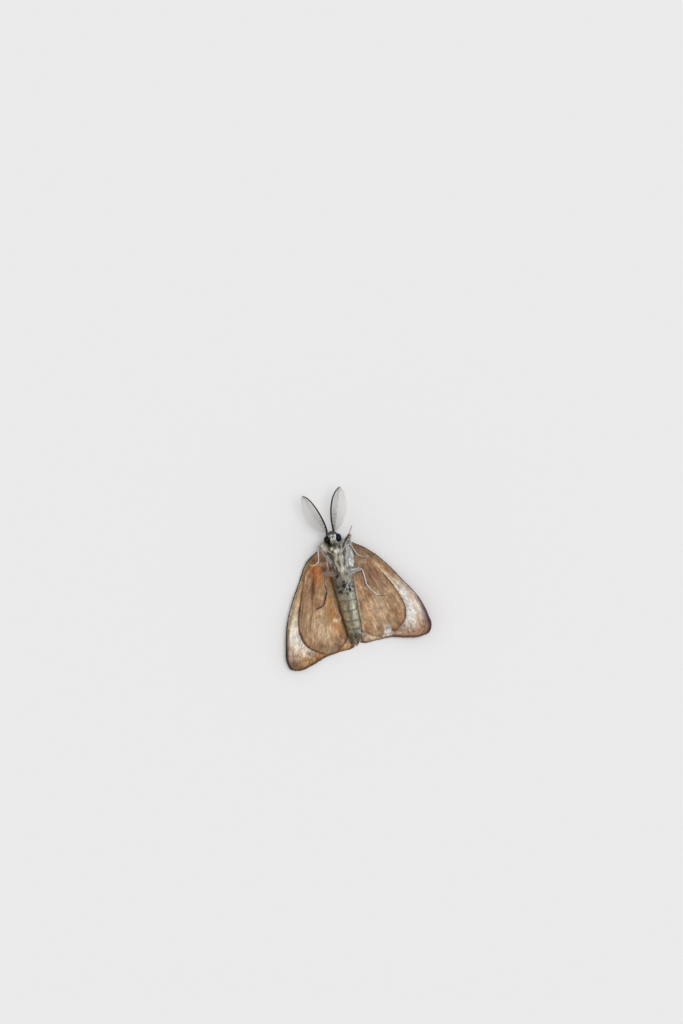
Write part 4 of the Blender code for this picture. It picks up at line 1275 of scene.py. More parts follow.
def trunk_colours(points):
    """Colours of the thorax and abdomen: grey-white and olive beneath, brown on the back."""
    u, v, z = points.T
    streak = grain(u * 4.4, v * 1.9, 1.0, 51)
    fine = grain(u * 7.0, v * 4.0, 1.0, 53)
    belly = soft_step(-v, 0.0, 0.6)
    colours = np.zeros((len(u), 3)) + paint((150, 144, 130))
    colours = mix(colours, (122, 112, 92), belly)
    colours = lay_washes(colours, u, v, TRUNK_WASHES)
    colours = draw_strokes(colours, u, v, TRUNK_STROKES)
    fluff = soft_step(v, -0.3, 0.5) * (1 - 0.5 * soft_step(v, 4.4, 4.8))
    colours = colours * (1.10 + 0.90 * (soft_step(streak, 0.54, 0.76) * fluff)[:, None])
    colours = mix(colours, (56, 46, 36), soft_step(streak, 0.44, 0.24) * fluff * 0.78)
    colours = np.minimum(colours, 0.80)
    ring = ring_phase(v) * belly
    behind = ring_phase(v - 0.16) * belly
    colours = mix(colours, (72, 62, 42), ring * (0.55 + 0.4 * fine))
    colours = mix(colours, (206, 204, 190), behind * 0.45 * soft_step(u, -0.6, 0.4))
    for middle, radii in SPOTS:
        dark = np.clip(spot(u, v, middle, radii) * 2.0, 0, 1) * soft_step(z, 2.4, 3.0)
        colours = mix(colours, (13, 13, 13), dark)
    back = 1 - soft_step(z, 1.7, 2.7)
    colours = mix(colours, (128, 104, 82), back * 0.95)
    colours = mix(colours, (78, 60, 48), back * belly * bell(u, 0, 0.35) * 0.7)
    colours = mix(colours, (92, 74, 60), back * soft_step(streak, 0.5, 0.9) * 0.5)
    # Painted shade: the furrows between the leg bases painted dark brown.
    colours = mix(colours, (46, 32, 24), furrow_depth(points, 0.21) * 0.97)
    return colours * (0.52 + 0.96 * fine)[:, None]


# Spots of the face: a tint, the middle, the half sizes and the strength.
HEAD_SPOTS = (
    ((36, 35, 36), (-1.20, 5.96), (0.12, 0.22), 0.9),
    ((30, 29, 30), (-0.71, 5.77), (0.15, 0.13), 1.0),
    ((44, 42, 42), (-0.38, 5.55), (0.12, 0.11), 1.0),
    ((54, 50, 48), (-0.78, 5.52), (0.08, 0.10), 0.9),
    ((60, 58, 56), (-0.12, 5.72), (0.09, 0.08), 0.8),
    ((44, 28, 18), (-0.42, 5.17), (0.28, 0.08), 1.0),
    ((246, 226, 214), (-0.42, 5.02), (0.28, 0.07), 0.9),
    ((50, 36, 24), (-0.42, 4.88), (0.30, 0.07), 0.9),
    # Painted shade at the throat.
    ((120, 112, 74), (-0.38, 4.62), (0.45, 0.18), 1.0),
    ((246, 238, 232), (0.21, 4.56), (0.14, 0.14), 0.9),
    # Painted shade under the right eye.
    ((30, 19, 10), (-0.98, 4.90), (0.28, 0.36), 1.0),
    ((240, 236, 232), (0.62, 4.85), (0.35, 0.25), 0.8),
)


def head_colours(points):
    """Colours of the head: grey-white face with dark spots, dark crown, and an olive painted shade
    at the throat.
    """
    u, v, z = points.T
    colours = np.zeros((len(u), 3)) + paint((226, 226, 222))
    colours = mix(colours, (84, 84, 86), soft_step(v, 6.0, 6.2) * 0.95)
    speck = grain(u, v, 0.13, 63) * (1 - soft_step(v, 6.1, 6.3)) * soft_step(v, 5.0, 5.2)
    colours = mix(colours, (62, 58, 54), soft_step(speck, 0.56, 0.70) * 0.85)
    for tint, middle, radii, strength in HEAD_SPOTS:
        colours = mix(colours, tint, spot(u, v, middle, radii) * strength)
    colours = mix(colours, (118, 98, 80), (1 - soft_step(z, 1.9, 2.8)) * 0.9)
    return colours * (0.85 + 0.3 * grain(u * 8, v * 8, 1.0, 61))[:, None]


FORE_LEFT, FORE_RIGHT, MID_LEFT, MID_RIGHT, HIND_LEFT, HIND_RIGHT = range(6)
# Tints along each leg in that order: its thigh, shin and foot.
LEG_TINTS = (
    ((96, 86, 78), (72, 60, 54), (190, 160, 168)),
    ((214, 206, 198), (206, 194, 186), (150, 128, 116)),
    ((206, 202, 200), (232, 228, 226), (222, 198, 184)),
    ((176, 160, 150), (206, 194, 188), (216, 198, 164)),
    ((222, 220, 216), (246, 236, 228), (244, 232, 222)),
    ((164, 144, 128), (170, 132, 106), (50, 26, 16)),
)


def leg_colours(number, reached, points):
    """Colours along a leg, with a darker band at each joint."""
    tints = np.array([[paint(tint) for tint in row] for row in LEG_TINTS])
    shin = soft_step(reached, 1.85, 2.1)[:, None]
    foot = soft_step(reached, 2.9, 3.2)[:, None]
    rows = tints[number]
    colours = rows[:, 0] * (1 - shin) + rows[:, 1] * shin
    colours = colours * (1 - foot) + rows[:, 2] * foot
    bands = bell(reached, 2.0, 0.07) + bell(reached, 3.0, 0.06)
    toes = soft_step(reached, 4.1, 4.5) * (number >= MID_LEFT)
    colours = mix(colours, (104, 70, 52), toes * 0.75)
    hidden = (number == FORE_LEFT) * (1 - soft_step(reached, 0.75, 1.25))
    colours = mix(colours, (212, 210, 206), hidden)
    aside = leg_aside(points, number)
    line = bell(aside, 0.1, 0.28) * (1 - shin[:, 0]) * (number >= HIND_LEFT)
    colours = mix(colours, (86, 66, 54), line * 0.7)
    # Dark brown down one side of the left middle and hind shins: partly their own dark scales,
    # partly painted shade on the side away from the lamp.
    dark_side_and_shade = soft_step(aside, -0.25, 0.2) * shin[:, 0] * np.isin(number, (MID_LEFT, HIND_LEFT))
    colours = mix(colours, (34, 24, 18), dark_side_and_shade * 0.95)
    inner = (number == FORE_RIGHT) * (1 - soft_step(reached, 0.9, 1.5))
    colours = mix(colours, (146, 116, 94), inner * 0.9)
    edges = soft_step(np.abs(aside), 0.40, 0.75) * (1 - soft_step(reached, 1.5, 2.0))
    edges *= number == FORE_RIGHT
    colours = mix(colours, (46, 32, 24), edges * 0.95)
    dark_end = soft_step(reached, 2.45, 2.8) * (number == HIND_RIGHT)
    colours = mix(colours, (54, 30, 20), dark_end * 0.9)
    patchy = grain(points[:, 0], points[:, 1], 0.22, 73)
    colours = mix(colours, (84, 66, 54), soft_step(patchy, 0.6, 0.85) * (1 - shin[:, 0]) * 0.6)
    # Painted shade: the legs are darker where they lie low near the body; the bands are their own
    # dark joints.
    under = 1 - soft_step(points[:, 2], 4.2, 5.4)
    dim = 1 - 0.30 * bands - 0.15 * under
    fine = grain(points[:, 0] * 9, points[:, 1] * 9, 1.0, 71)
    return colours * (dim * (0.88 + 0.24 * fine))[:, None]


# Painted shade at the throat and under the right eye: a tint, the middle, the half sizes and the
# lean.
THROAT_SHADE = (((104, 92, 54), (-0.05, 4.56), (0.42, 0.15), 0),
          ((48, 34, 18), (-0.85, 4.55), (0.50, 0.26), -10),
          ((20, 12, 6), (-1.02, 4.72), (0.34, 0.44), 25))


def body_colours(points):
    """The skin's markings, whichever part a point lies on; the coat asks for the same."""
    gap, number, reached, _ = leg_places(points)
    colours = trunk_colours(points)
    head = soft_step(-np.linalg.norm((points - HEAD_CENTRE) / HEAD_RADII, axis=1), -1.25, -1.05)
    head *= soft_step(points[:, 1], 4.6, 4.9)
    colours = colours * (1 - head[:, None]) + head_colours(points) * head[:, None]
    leg = ((1 - soft_step(gap, 0.06, 0.20)) * soft_step(reached, 0.3, 0.7))[:, None]
    # The throat's painted shade, laid over head and trunk alike.
    for tint, middle, radii, lean in THROAT_SHADE:
        shade = spot(points[:, 0], points[:, 1], middle, radii, lean) * (points[:, 2] > 3)
        colours = mix(colours, tint, shade)
    return colours * (1 - leg) + leg_colours(number, reached, points) * leg


hide = Finish("body_skin", roughness=0.7, specular_ior_level=0.3)
hide_hairs = hide.noise(0.06, stretch=(1.0, 0.22, 1.0), detail=3.0)
hide_tone = hide_hairs * 0.6 + 0.62
body_skin = hide.end(base_color=hide.shade(hide.marks(), hide_tone),
                     normal=hide.bump(hide_hairs, 0.05, 0.8))
skin = make_mesh("skin", skin_points, [skin_quads], body_skin,
                 body_colours(skin_points) * SKIN_SHADE)
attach(skin, "root")
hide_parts("head", "thorax", "abdomen", "leg_fore_left", "leg_fore_right", "leg_mid_left",
            "leg_mid_right", "leg_hind_left", "leg_hind_right")


# ---- Coat of the body -------------------------------------------------------------------
# Long soft hair on the thorax, short flat scales on the abdomen, face and legs, and a
# brush at the tail. Each lock grows from the skin and is combed along the body.

LOCK_RINGS = 3


def locks(roots, ahead, up, length, width, lift, droop, sway):
    """Closed tapered locks of hair: three-sided rings that shrink to a point.

    The middle line runs along `ahead`, rises by lift times the share of its length, and
    falls back by droop times the share squared, with a sideways sway.
    """
    count = len(roots)
    across = unit(np.cross(ahead, up))
    shares = np.arange(LOCK_RINGS) / LOCK_RINGS
    turn = np.radians([90.0, 210.0, 330.0])

    def centre(share):
        reach = length[:, None]
        return roots + reach * (ahead * share + up * (lift * share - droop * share**2)[:, None]
                                + across * (sway * share**2)[:, None])
    rings = []
    for share in shares:
        half = (width / 2 * (1 - share) ** 0.7)[:, None]
        middle = centre(share) - up * 0.02 * (share == 0)
        rings += [middle + half * (across * math.cos(angle) + up * math.sin(angle) * 0.6)
                  for angle in turn]
    points = np.stack(rings + [centre(1.0)], axis=1)
    template = [(0, 2, 1)]
    for ring in range(LOCK_RINGS - 1):
        for k in range(3):
            a, b = ring * 3 + k, ring * 3 + (k + 1) % 3
            template += [(a, b, b + 3), (a, b + 3, a + 3)]
    last = (LOCK_RINGS - 1) * 3
    template += [(last + k, last + (k + 1) % 3, LOCK_RINGS * 3) for k in range(3)]
    stride = LOCK_RINGS * 3 + 1
    patch = np.concatenate([np.array([(-1, 0), (0, 0.4), (1, 0)]) * (1 - share) + (0, share)
                            for share in shares] + [np.array([(0.0, 1.0)])]) * PATCH_HALF
    tone = np.repeat(np.append(shares, 1.0), [3] * LOCK_RINGS + [1])
    return points.reshape(-1, 3), repeat_faces(template, count, stride), patch, tone


def scatter_on_skin(density, random):
    """Roots on the skin: triangles drawn by area times density, evenly spread."""
    halves = [skin_quads[:, [0, 1, 2]], skin_quads[:, [0, 2, 3]]]
    triangles = np.concatenate(halves, axis=1).reshape(-1, 3)
    a, b, c = (skin_points[triangles[:, k]] for k in range(3))
    weight = np.linalg.norm(np.cross(b - a, c - a), axis=1) / 2 * density[triangles].mean(axis=1)
    total = np.cumsum(weight)
    count = int(total[-1])
    wanted = (np.arange(count) + random.random(count)) / count * total[-1]
    chosen = triangles[np.searchsorted(total, wanted)]
    p, q = random.random((2, count, 1))
    flip = (p + q) > 1
    p, q = np.where(flip, 1 - p, p), np.where(flip, 1 - q, q)
    weights = (1 - p - q, p, q)
    roots = sum(share * skin_points[chosen[:, k]] for k, share in enumerate(weights))
    normals = unit(sum(share * skin_normals[chosen[:, k]] for k, share in enumerate(weights)))
    return roots, normals


def on_surface(direction, normals):
    """A direction laid flat on the skin."""
    return unit(direction - normals * (direction * normals).sum(-1, keepdims=True))


hair = Finish("body_hair", roughness=0.6, specular_ior_level=0.3, sheen_weight=0.08)
hair_tone = hair.noise(0.05, stretch=(1.0, 0.3, 1.0), detail=1.0) * 0.3 + 0.85
body_hair = hair.end(base_color=hair.shade(hair.marks(), hair_tone))


def make_coat(name, roots, normals, ahead, size, chart, seed, kind="hair", tint=1.0):
    """A coat piece. `size` gives length, width, lift, droop and sway of the locks."""
    random = np.random.default_rng(seed)
    count = len(roots)
    length, width, lift, droop, sway = size
    length = length * random.uniform(0.7, 1.2, count)
    width = width * random.uniform(0.8, 1.2, count)
    lift = lift * random.uniform(0.5, 1.4, count)
    across = np.cross(ahead, normals)
    ahead = unit(ahead + across * random.normal(0.0, 0.14, (count, 1)))
    spread = 0.34 if kind == "hair" else 0.18
    colours = body_colours(roots) * tint * (1 + spread * random.uniform(-1, 1, (count, 1)))
    if kind == "hair":
        points, faces, patch, tone = locks(roots, ahead, normals, length, width, lift,
                                           np.full(count, droop), sway * random.normal(0, 1, count))
        shading = 0.72 + 0.42 * tone
    else:
        points, faces = vanes(roots, ahead, normals, length, width, lift)
        patch, shading = VANE_PATCH, np.array([0.8, 1.0, 1.0, 1.12, 1.0, 0.9])
    points[:, 2] = np.maximum(points[:, 2], FLOOR_GAP)
    marks = (colours[:, None, :] * shading[None, :, None]).reshape(-1, 3)
    piece = make_mesh(name, points, [faces], body_hair, marks, bake_patches(chart, patch))
    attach(piece, "root")


def wrap_chart(points, centre_u, centre_z, v_low, v_high):
    """A part's own unwrap: the turn about its axis, and the place along it."""
    turn = np.arctan2(points[:, 2] - centre_z, points[:, 0] - centre_u) / (2 * math.pi) % 1.0
    share = np.clip((points[:, 1] - v_low) / (v_high - v_low), 0, 1)
    return np.stack([0.01 + 0.98 * turn, 0.01 + 0.98 * share], axis=1)


def leg_chart(number, share, normals):
    """The legs' unwrap: one strip for each leg, along it and round it."""
    turn = np.arctan2(normals[:, 2], normals[:, 0]) / (2 * math.pi) % 1
    return np.stack([0.01 + 0.98 * (number + np.clip(share, 0, 1)) / 6, 0.01 + 0.98 * turn], axis=1)


head_share = np.linalg.norm((skin_points - HEAD_CENTRE) / HEAD_RADII, axis=1)
on_head = (head_share < 1.02) & (skin_points[:, 1] > 4.75) & ~on_leg
on_thorax = ~on_leg & ~on_head & (skin_points[:, 1] >= -0.35)
on_belly = ~on_leg & ~on_head & (skin_points[:, 1] < -0.35)

random = np.random.default_rng(201)
roots, normals = scatter_on_skin(125.0 * on_thorax, random)
outward = np.sign(roots[:, :1] + 0.05) * np.clip(np.abs(roots[:, :1]) - 0.5, 0, 1.2) * 0.30
comb = np.concatenate([outward, -np.ones_like(outward), np.zeros_like(outward)], axis=1)
ahead = on_surface(comb, normals)
long = 0.34 + 0.44 * soft_step(np.abs(roots[:, 0]), 1.0, 1.9)
long -= 0.08 * soft_step(roots[:, 1], 3.6, 4.8)
long *= 1 - 0.45 * furrow_depth(roots, 0.30)
make_coat("thorax_fur", roots, normals, ahead, (long, 0.058, 0.40, 0.28, 0.12),
          wrap_chart(roots, 0.0, 2.4, -0.6, 5.2), 202)

random = np.random.default_rng(205)
collar = on_thorax & (skin_points[:, 1] > 4.0) & (np.abs(skin_points[:, 0] + 0.25) > 1.05)
roots, normals = scatter_on_skin(110.0 * collar, random)
way = np.sign(roots[:, :1])
comb = np.concatenate([way, 0.7 + 0 * way, 0.25 + 0 * way], axis=1)
ahead = unit(on_surface(comb, normals) + 0.45 * normals)
long = 0.42 + 0.18 * soft_step(np.abs(roots[:, 0]), 0.9, 1.6)
make_coat("collar_fur", roots, normals, ahead, (long, 0.055, 0.15, 0.25, 0.15),
          wrap_chart(roots, 0.0, 2.4, -0.6, 5.2), 206)

random = np.random.default_rng(211)
roots, normals = scatter_on_skin(150.0 * on_belly, random)
ahead = on_surface(np.array([0.0, -1.0, 0.0]) + 0 * roots, normals)
behind = ring_phase(roots[:, 1] - 0.10)
size = (0.21 + 0.08 * behind, 0.095, 0.16 + 0.10 * behind, 0.0, 0.0)
make_coat("abdomen_scales", roots, normals, ahead, size,
          wrap_chart(roots, -0.05, 2.9, -10.4, 0.0), 212, "scale")

random = np.random.default_rng(221)
tail = on_belly & (skin_points[:, 1] < -8.3)
roots, normals = scatter_on_skin(90.0 * tail, random)
ahead = on_surface(np.array([0.0, -1.0, 0.0]) + normals * (0.12, 0.0, 0.12), normals)
long = 0.75 - 0.35 * soft_step(-roots[:, 1], 9.2, 10.2)
strands = grain(roots[:, 0] * 5.2, roots[:, 1] * 0.4, 1.0, 91)
make_coat("tail_brush", roots, normals, ahead, (long, 0.07, 0.25, 0.1, 0.1),
          wrap_chart(roots, -0.05, 2.2, -10.4, -8.3), 222,
          tint=0.55 + 1.25 * soft_step(strands, 0.35, 0.6)[:, None])

random = np.random.default_rng(231)
eyes_near = np.minimum(
    np.linalg.norm((skin_points - HEAD_CENTRE - EYE_OFFSET * (-1, 1, 1)) / EYE_RADII[0], axis=1),
    np.linalg.norm((skin_points - HEAD_CENTRE - EYE_OFFSET) / EYE_RADII[1], axis=1))
roots, normals = scatter_on_skin(300.0 * (on_head & (eyes_near > 1.12)), random)
crown = soft_step(roots[:, 1], 6.0, 6.5)
comb = np.stack([(roots[:, 0] + 0.4) * 0.9, -0.6 + 1.5 * crown, 0.3 + 0 * crown], axis=1)
ahead = on_surface(comb, normals)
long = 0.14 + 0.26 * crown + 0.10 * (1 - soft_step(roots[:, 1], 4.9, 5.2))
make_coat("face_fur", roots, normals, ahead, (long, 0.042, 0.40, 0.2, 0.1),
          wrap_chart(roots, -0.4, 3.1, 4.6, 6.8), 232)

random = np.random.default_rng(241)
thick_leg = on_leg & (leg_reached < 3.0)
roots, normals = scatter_on_skin(130.0 * thick_leg, random)
_, number, reached, along_leg = leg_places(roots)
ahead = on_surface(along_leg, normals)
long = 0.26 - 0.06 * soft_step(reached, 1.9, 3.0)
chart = leg_chart(number, reached / 3.2, normals)
size = (long, 0.065, 0.14, 0.0, 0.0)
make_coat("leg_scales", roots, normals, ahead, size, chart, 242, "scale", 1.05)

random = np.random.default_rng(245)
fore_left = (leg_number == FORE_LEFT) & (leg_reached > 1.3) & (leg_reached < 3.0)
shaggy = (110.0 * (leg_reached < 2.0) + 220.0 * fore_left) * on_leg
roots, normals = scatter_on_skin(shaggy, random)
_, number, reached, along_leg = leg_places(roots)
ahead = unit(on_surface(along_leg, normals) + 0.25 * normals)
hook = (number == FORE_LEFT) * bell(reached, 2.72, 0.22)
ahead = unit(ahead * (1 - 0.9 * hook)[:, None] + np.array([0.62, -0.76, 0.1]) * hook[:, None])
long = 0.34 - 0.10 * (number <= FORE_RIGHT) + 0.30 * hook
chart = leg_chart(number, reached / 3.2, normals)
make_coat("leg_hair", roots, normals, ahead, (long, 0.05, 0.3, 0.25, 0.15), chart, 246,
          tint=1.0 + hook[:, None] * (4.2, 3.1, 2.6))

random = np.random.default_rng(251)
roots, normals = scatter_on_skin(110.0 * (on_leg & (leg_reached >= 3.0)), random)
_, number, reached, along_leg = leg_places(roots)
ahead = on_surface(along_leg, normals)
chart = leg_chart(number, (reached - 3.0) / 2.1, normals)
size = (np.full(len(roots), 0.15), 0.048, 0.16, 0.0, 0.0)
make_coat("foot_scales", roots, normals, ahead, size, chart, 252, "scale", 1.05)


# ---- Eyes -------------------------------------------------------------------------------
# Two glossy domes, near black, of several thousand tiny six-sided lenses each.

EYE_TINTS = ((12, 10, 7), (14, 17, 36))
EYE_RINGS = 48
EYE_AROUND = 64

for side, which in enumerate(SIDES):
    centre = HEAD_CENTRE + EYE_OFFSET * (2 * side - 1, 1, 1)
    globe = Finish("eye_" + which, roughness=0.30, base_color=paint(EYE_TINTS[side]),
                   specular_ior_level=0.12)
    lenses = globe.node("TexVoronoi", {"feature": "F1"},
                        {"Vector": globe.place(), "Scale": 1.0 / (0.045 * MM)}, "Distance")
    lens_height = 1.0 - lenses
    rings = ellipsoid_rings(centre, EYE_RADII[side], EYE_RINGS, EYE_AROUND)
    eye_points, eye_faces = closed_tube(rings)
    quads = np.array(eye_faces[:-2])
    poles = np.array([rings[0].mean(axis=0), rings[-1].mean(axis=0)])
    first = len(eye_points)
    corner = np.arange(EYE_AROUND)
    after = (corner + 1) % EYE_AROUND
    end = (EYE_RINGS - 1) * EYE_AROUND
    fans = np.concatenate([np.stack([after, corner, corner * 0 + first], axis=1),
                           np.stack([corner + end, after + end, corner * 0 + first + 1], axis=1)])
    eye = make_mesh("eye_dome_" + which, np.concatenate([eye_points, poles]), [quads, fans],
                    globe.end(normal=globe.bump(lens_height, 0.008, 0.5)))
    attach(eye, "root")
    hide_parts("eye_" + which)


# ---- Feelers ----------------------------------------------------------------------------
# Two jointed shafts, dark and tapering, each with two rows of fine teeth like a comb. Every tooth
# carries soft hairs, so that the comb looks like grey gauze. Teeth and hairs are painted pale grey,
# lighter than their own brown-grey: painted light shining through them.

SHAFTS = (
    ((-1.02, 6.20, 3.10), (-1.04, 7.40, 3.48), (-1.30, 8.60, 3.80), (-1.70, 9.88, 4.00),
     (-2.10, 10.80, 4.14), (-2.50, 11.52, 4.22), (-3.06, 12.16, 4.30), (-3.38, 12.34, 4.34)),
    ((-0.05, 6.20, 3.10), (-0.02, 7.20, 3.42), (0.02, 8.30, 3.74), (0.22, 9.56, 3.96),
     (0.54, 10.60, 4.12), (1.02, 11.56, 4.23), (1.46, 12.12, 4.30), (2.10, 12.60, 4.35)),
)
# Where the teeth of the level row end, from the first tooth to the last.
COMB_EDGES = (
    ((-1.50, 6.55), (-2.30, 7.00), (-3.00, 7.60), (-3.55, 8.36), (-3.82, 9.50),
     (-3.84, 10.50), (-3.76, 11.40), (-3.46, 12.36)),
    ((0.42, 6.55), (1.10, 7.05), (1.75, 7.80), (2.25, 8.60), (2.58, 9.64),
     (2.66, 10.60), (2.62, 11.50), (2.20, 12.62)),
)
SHAFT_RADII = (0.155, 0.080)
SHAFT_STEPS = 240
SHAFT_AROUND = 10
TEETH = 40
TOOTH_STEPS = 9
BROWN_FADE = (0.9, 0.45)            # how much of a tooth's brown is lost by its tip
RAISED = (0.46, 0.89)
TOOTH_RADIUS = 0.016
HAIRS_OF_TOOTH = 24
HAIR_LENGTH = 0.15

shaft_look = Finish("feeler_shaft", roughness=0.5, specular_ior_level=0.08)
shaft_rings = shaft_look.noise(0.08, detail=2.0)
shaft_tone = shaft_rings * 0.7 + 0.65
feeler_shaft = shaft_look.end(base_color=shaft_look.shade(shaft_look.marks(), shaft_tone),
                              normal=shaft_look.bump(shaft_rings, 0.01, 0.5))
comb_look = Finish("feeler_comb", roughness=0.5, sheen_weight=0.3)
feeler_comb = comb_look.end(base_color=comb_look.marks())


def many_tubes(paths, radii):
    """Three-sided tapered tubes along many paths at once, closed at both ends.

    Each ring is a triangle square to its path; the last point of a path is the tip.
    """
    count, steps = paths.shape[:2]
    tangent = unit(np.gradient(paths, axis=1))
    across = unit(np.cross(tangent, np.array([0.13, 0.21, 0.97])))
    over = np.cross(across, tangent)
    turn = np.radians([90.0, 210.0, 330.0])
    ring = (np.cos(turn)[:, None] * across[:, :-1, None]
            + np.sin(turn)[:, None] * over[:, :-1, None])
    rings = paths[:, :-1, None] + ring * radii[:, :-1, None, None]
    points = np.concatenate([rings.reshape(count, -1, 3), paths[:, -1:]], axis=1)
    template = [(0, 1, 2)]
    for step in range(steps - 2):
        for k in range(3):
            a, b = step * 3 + k, step * 3 + (k + 1) % 3
            template += [(b, a, a + 3), (b, a + 3, b + 3)]
    last = (steps - 2) * 3
    template += [(last + (k + 1) % 3, last + k, (steps - 1) * 3) for k in range(3)]
    return points.reshape(-1, 3), repeat_faces(template, count, (steps - 1) * 3 + 1)


for side, which in enumerate(SIDES):
    random = np.random.default_rng(301 + side)
    share = np.linspace(0, 1, SHAFT_STEPS)
    last = len(SHAFTS[side]) - 1
    line = curve_between(SHAFTS[side], 0, last, share)
    joint_wave = 1 + 0.16 * np.sin(2 * math.pi * TEETH * share)
    radius = (SHAFT_RADII[0] + (SHAFT_RADII[1] - SHAFT_RADII[0]) * share ** 0.8) * joint_wave
    shaft_points, shaft_faces = closed_tube(rings_on_path(line, radius, SHAFT_AROUND))
    dark, brown = paint((9, 7, 6)), paint((26, 21, 17))
    joints = soft_step(np.sin(2 * math.pi * TEETH * share), -0.4, 0.6)
    blend = np.repeat(joints, SHAFT_AROUND)[:, None]
    quads = np.array(shaft_faces[:-2])
    caps = np.array(shaft_faces[-2:])
    shaft = make_mesh("feeler_shaft_" + which, shaft_points, [quads, caps], feeler_shaft,
                      dark * (1 - blend) + brown * blend)
    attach(shaft, "root")

    at = (np.arange(TEETH) + 0.7) / (TEETH + 0.5)
    place = curve_between(SHAFTS[side], 0, last, 0.05 + 0.95 * at)
    tangent = unit(curve_between(SHAFTS[side], 0, last, np.minimum(at + 0.01, 1))
                   - curve_between(SHAFTS[side], 0, last, at - 0.01))
    ends = curve_between(COMB_EDGES[side], 0, len(COMB_EDGES[side]) - 1, at)
    to_end = np.concatenate([ends - place[:, :2], np.zeros((TEETH, 1))], axis=1)
    reach = np.linalg.norm(to_end, axis=1) * random.uniform(0.97, 1.03, (2, TEETH))
    reach[1] *= random.uniform(0.72, 1.06, TEETH)
    level = unit(to_end)
    raised = unit(level * RAISED[0] + np.array([0.0, 0.0, RAISED[1]]))
    run = np.linspace(0, 1, TOOTH_STEPS)[None, :, None]
    paths = []
    arch = 0.10 * np.sin(math.pi * run)
    for direction, bow, far in ((level, raised, reach[0]), (raised, level, reach[1])):
        curve = tangent[:, None] * arch + bow[:, None] * arch
        paths.append(place[:, None] + far[:, None, None] * (direction[:, None] * run + curve))
    paths[1][..., 2] = np.minimum(paths[1][..., 2], 6.6)
    paths = np.concatenate(paths)
    low_part = 1 - soft_step(at, 0.25, 0.62)
    stout = np.append(np.ones(TEETH), 1 + 1.1 * low_part)[:, None]
    radii = TOOTH_RADIUS * (1 - 0.65 * np.linspace(0, 1, TOOTH_STEPS))[None] * stout
    tooth_points, tooth_faces = many_tubes(paths, radii)
    # The pale grey is painted light shining through the teeth; their own colour is brown-grey.
    fawn, pale = paint(((96, 82, 62), (112, 76, 60))[side]), paint((192, 187, 180))
    tone = np.append(np.repeat(np.linspace(0, 1, TOOTH_STEPS)[:-1], 3), 1.0)[None, :, None]
    clumps = 0.25 + 0.75 * soft_step(np.sin(np.arange(TEETH) * 1.9 + side), -0.4, 0.8)
    base_brown = np.concatenate([0.35 * low_part, low_part * clumps])[:, None, None]
    browned = base_brown * (1 - tone * BROWN_FADE[side])
    tooth_marks = pale * (1 - browned) + fawn * browned
    comb = make_mesh("feeler_comb_" + which, tooth_points, [tooth_faces], feeler_comb,
                     tooth_marks.reshape(-1, 3))
    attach(comb, "root")
    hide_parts("antenna_" + which)

    stand = np.linspace(0.08, 0.97, HAIRS_OF_TOOTH)
    index = stand * (TOOTH_STEPS - 1)
    low = np.floor(index).astype(int)
    part = (index - low)[None, :, None]
    seats = paths[:, low] * (1 - part) + paths[:, low + 1] * part
    tooth_run = unit(paths[:, low + 1] - paths[:, low])
    along = np.concatenate([tangent, tangent])[:, None]
    hair_way = np.concatenate([unit(along * way + tooth_run * 0.55) for way in (1.0, -1.0)], axis=1)
    seats = np.concatenate([seats, seats], axis=1).reshape(-1, 3)
    hair_way = hair_way.reshape(-1, 3)
    hair_way = unit(hair_way + random.normal(0, 0.12, hair_way.shape))
    fine = HAIR_LENGTH * random.uniform(0.7, 1.15, len(seats))[:, None, None]
    hair_run = np.array([0.0, 0.5, 1.0])[None, :, None]
    hair_paths = seats[:, None] + hair_way[:, None] * hair_run * fine
    thick = np.repeat(1 + 1.6 * base_brown.ravel(), 2 * HAIRS_OF_TOOTH)[:, None]
    hair_radii = np.array([0.006, 0.0045, 0.0])[None] * thick
    hair_points, hair_faces = many_tubes(hair_paths, hair_radii)
    fading = np.concatenate([stand, stand])[None, :, None] * BROWN_FADE[side]
    browned = base_brown * (1 - fading)
    browned = np.repeat(browned.ravel(), len(hair_points) // len(seats))[:, None] * 0.8
    hairs = make_mesh("feeler_hairs_" + which, hair_points, [hair_faces], feeler_comb,
                      # The pale grey is painted light shining through the hairs.
                      paint((186, 182, 176)) * (1 - browned) + fawn * browned)
    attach(hairs, "root")


# ---- Claws and spurs --------------------------------------------------------------------
# Every foot ends in two small curved horny claws; the shins of the middle and hind legs
# carry pairs of stiff pointed spurs near their ends.

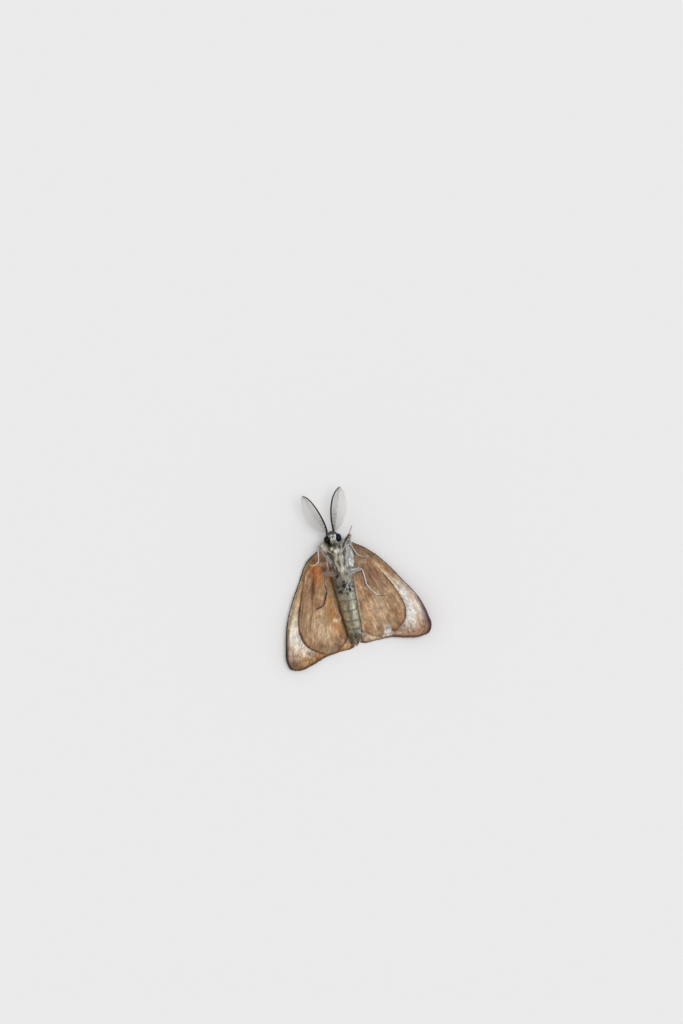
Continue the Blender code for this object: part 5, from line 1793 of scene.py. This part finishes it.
CLAW_LENGTH = 0.24
CLAW_TINT = (62, 42, 30)
SPUR_TINT = (196, 180, 164)
claw_look = Finish("claw_horn", roughness=0.3, coat_weight=0.3)
claw_grain = claw_look.noise(0.05, detail=2.0)
claw_tint = claw_look.shade(paint(CLAW_TINT), claw_grain * 0.5 + 0.75)
claw_horn = claw_look.end(base_color=claw_tint, normal=claw_look.bump(claw_grain, 0.006, 0.4))

claw_paths, claw_radii, spur_paths = [], [], []
run = np.linspace(0, 1, 7)[:, None]
for name, (line, radius, reached) in LEG_LINES.items():
    tip = line[-1]
    ahead = unit(line[-1] - line[-4])
    sideways = unit(np.cross(ahead, (0.0, 0.0, 1.0)))
    for way in (-1.0, 1.0):
        out = ahead * 0.8 + sideways * way * 0.55
        climb = np.array([0, 0, 1.0]) * (0.35 * run - 0.15 * run**2)
        turned_in = sideways * way * 0.35 * run**2
        claw_paths.append(tip - ahead * 0.05 + CLAW_LENGTH * (out * run + climb - turned_in))
        claw_radii.append(0.036 * (1 - run[:, 0]) ** 0.8)
    stations = {"fore": (), "mid": (2.93,), "hind": (2.55, 2.93)}[name.split("_")[1]]
    for station in stations:
        place, further = (np.array([np.interp(at, reached, line[:, k]) for k in range(3)])
                          for at in (station, station + 0.1))
        ahead = unit(further - place)
        sideways = unit(np.cross(ahead, (0.0, 0.0, 1.0)))
        for way, long in ((-1.0, 0.55), (1.0, 0.42)):
            out = unit(ahead * 0.9 + sideways * way * 0.42)
            spur_paths.append(place + out * run * long + sideways * way * 0.05)
spur_radii = [0.045 * (1 - 0.85 * run[:, 0]) for path in spur_paths]
claw_points, claw_faces = many_tubes(np.array(claw_paths), np.array(claw_radii))
claws = make_mesh("claws", claw_points, [claw_faces], claw_horn)
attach(claws, "root")
spur_points, spur_faces = many_tubes(np.array(spur_paths), np.array(spur_radii))
spurs = make_mesh("spurs", spur_points, [spur_faces], body_hair,
                  np.zeros_like(spur_points) + paint(SPUR_TINT))
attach(spurs, "root")


bpy.context.view_layer.update()
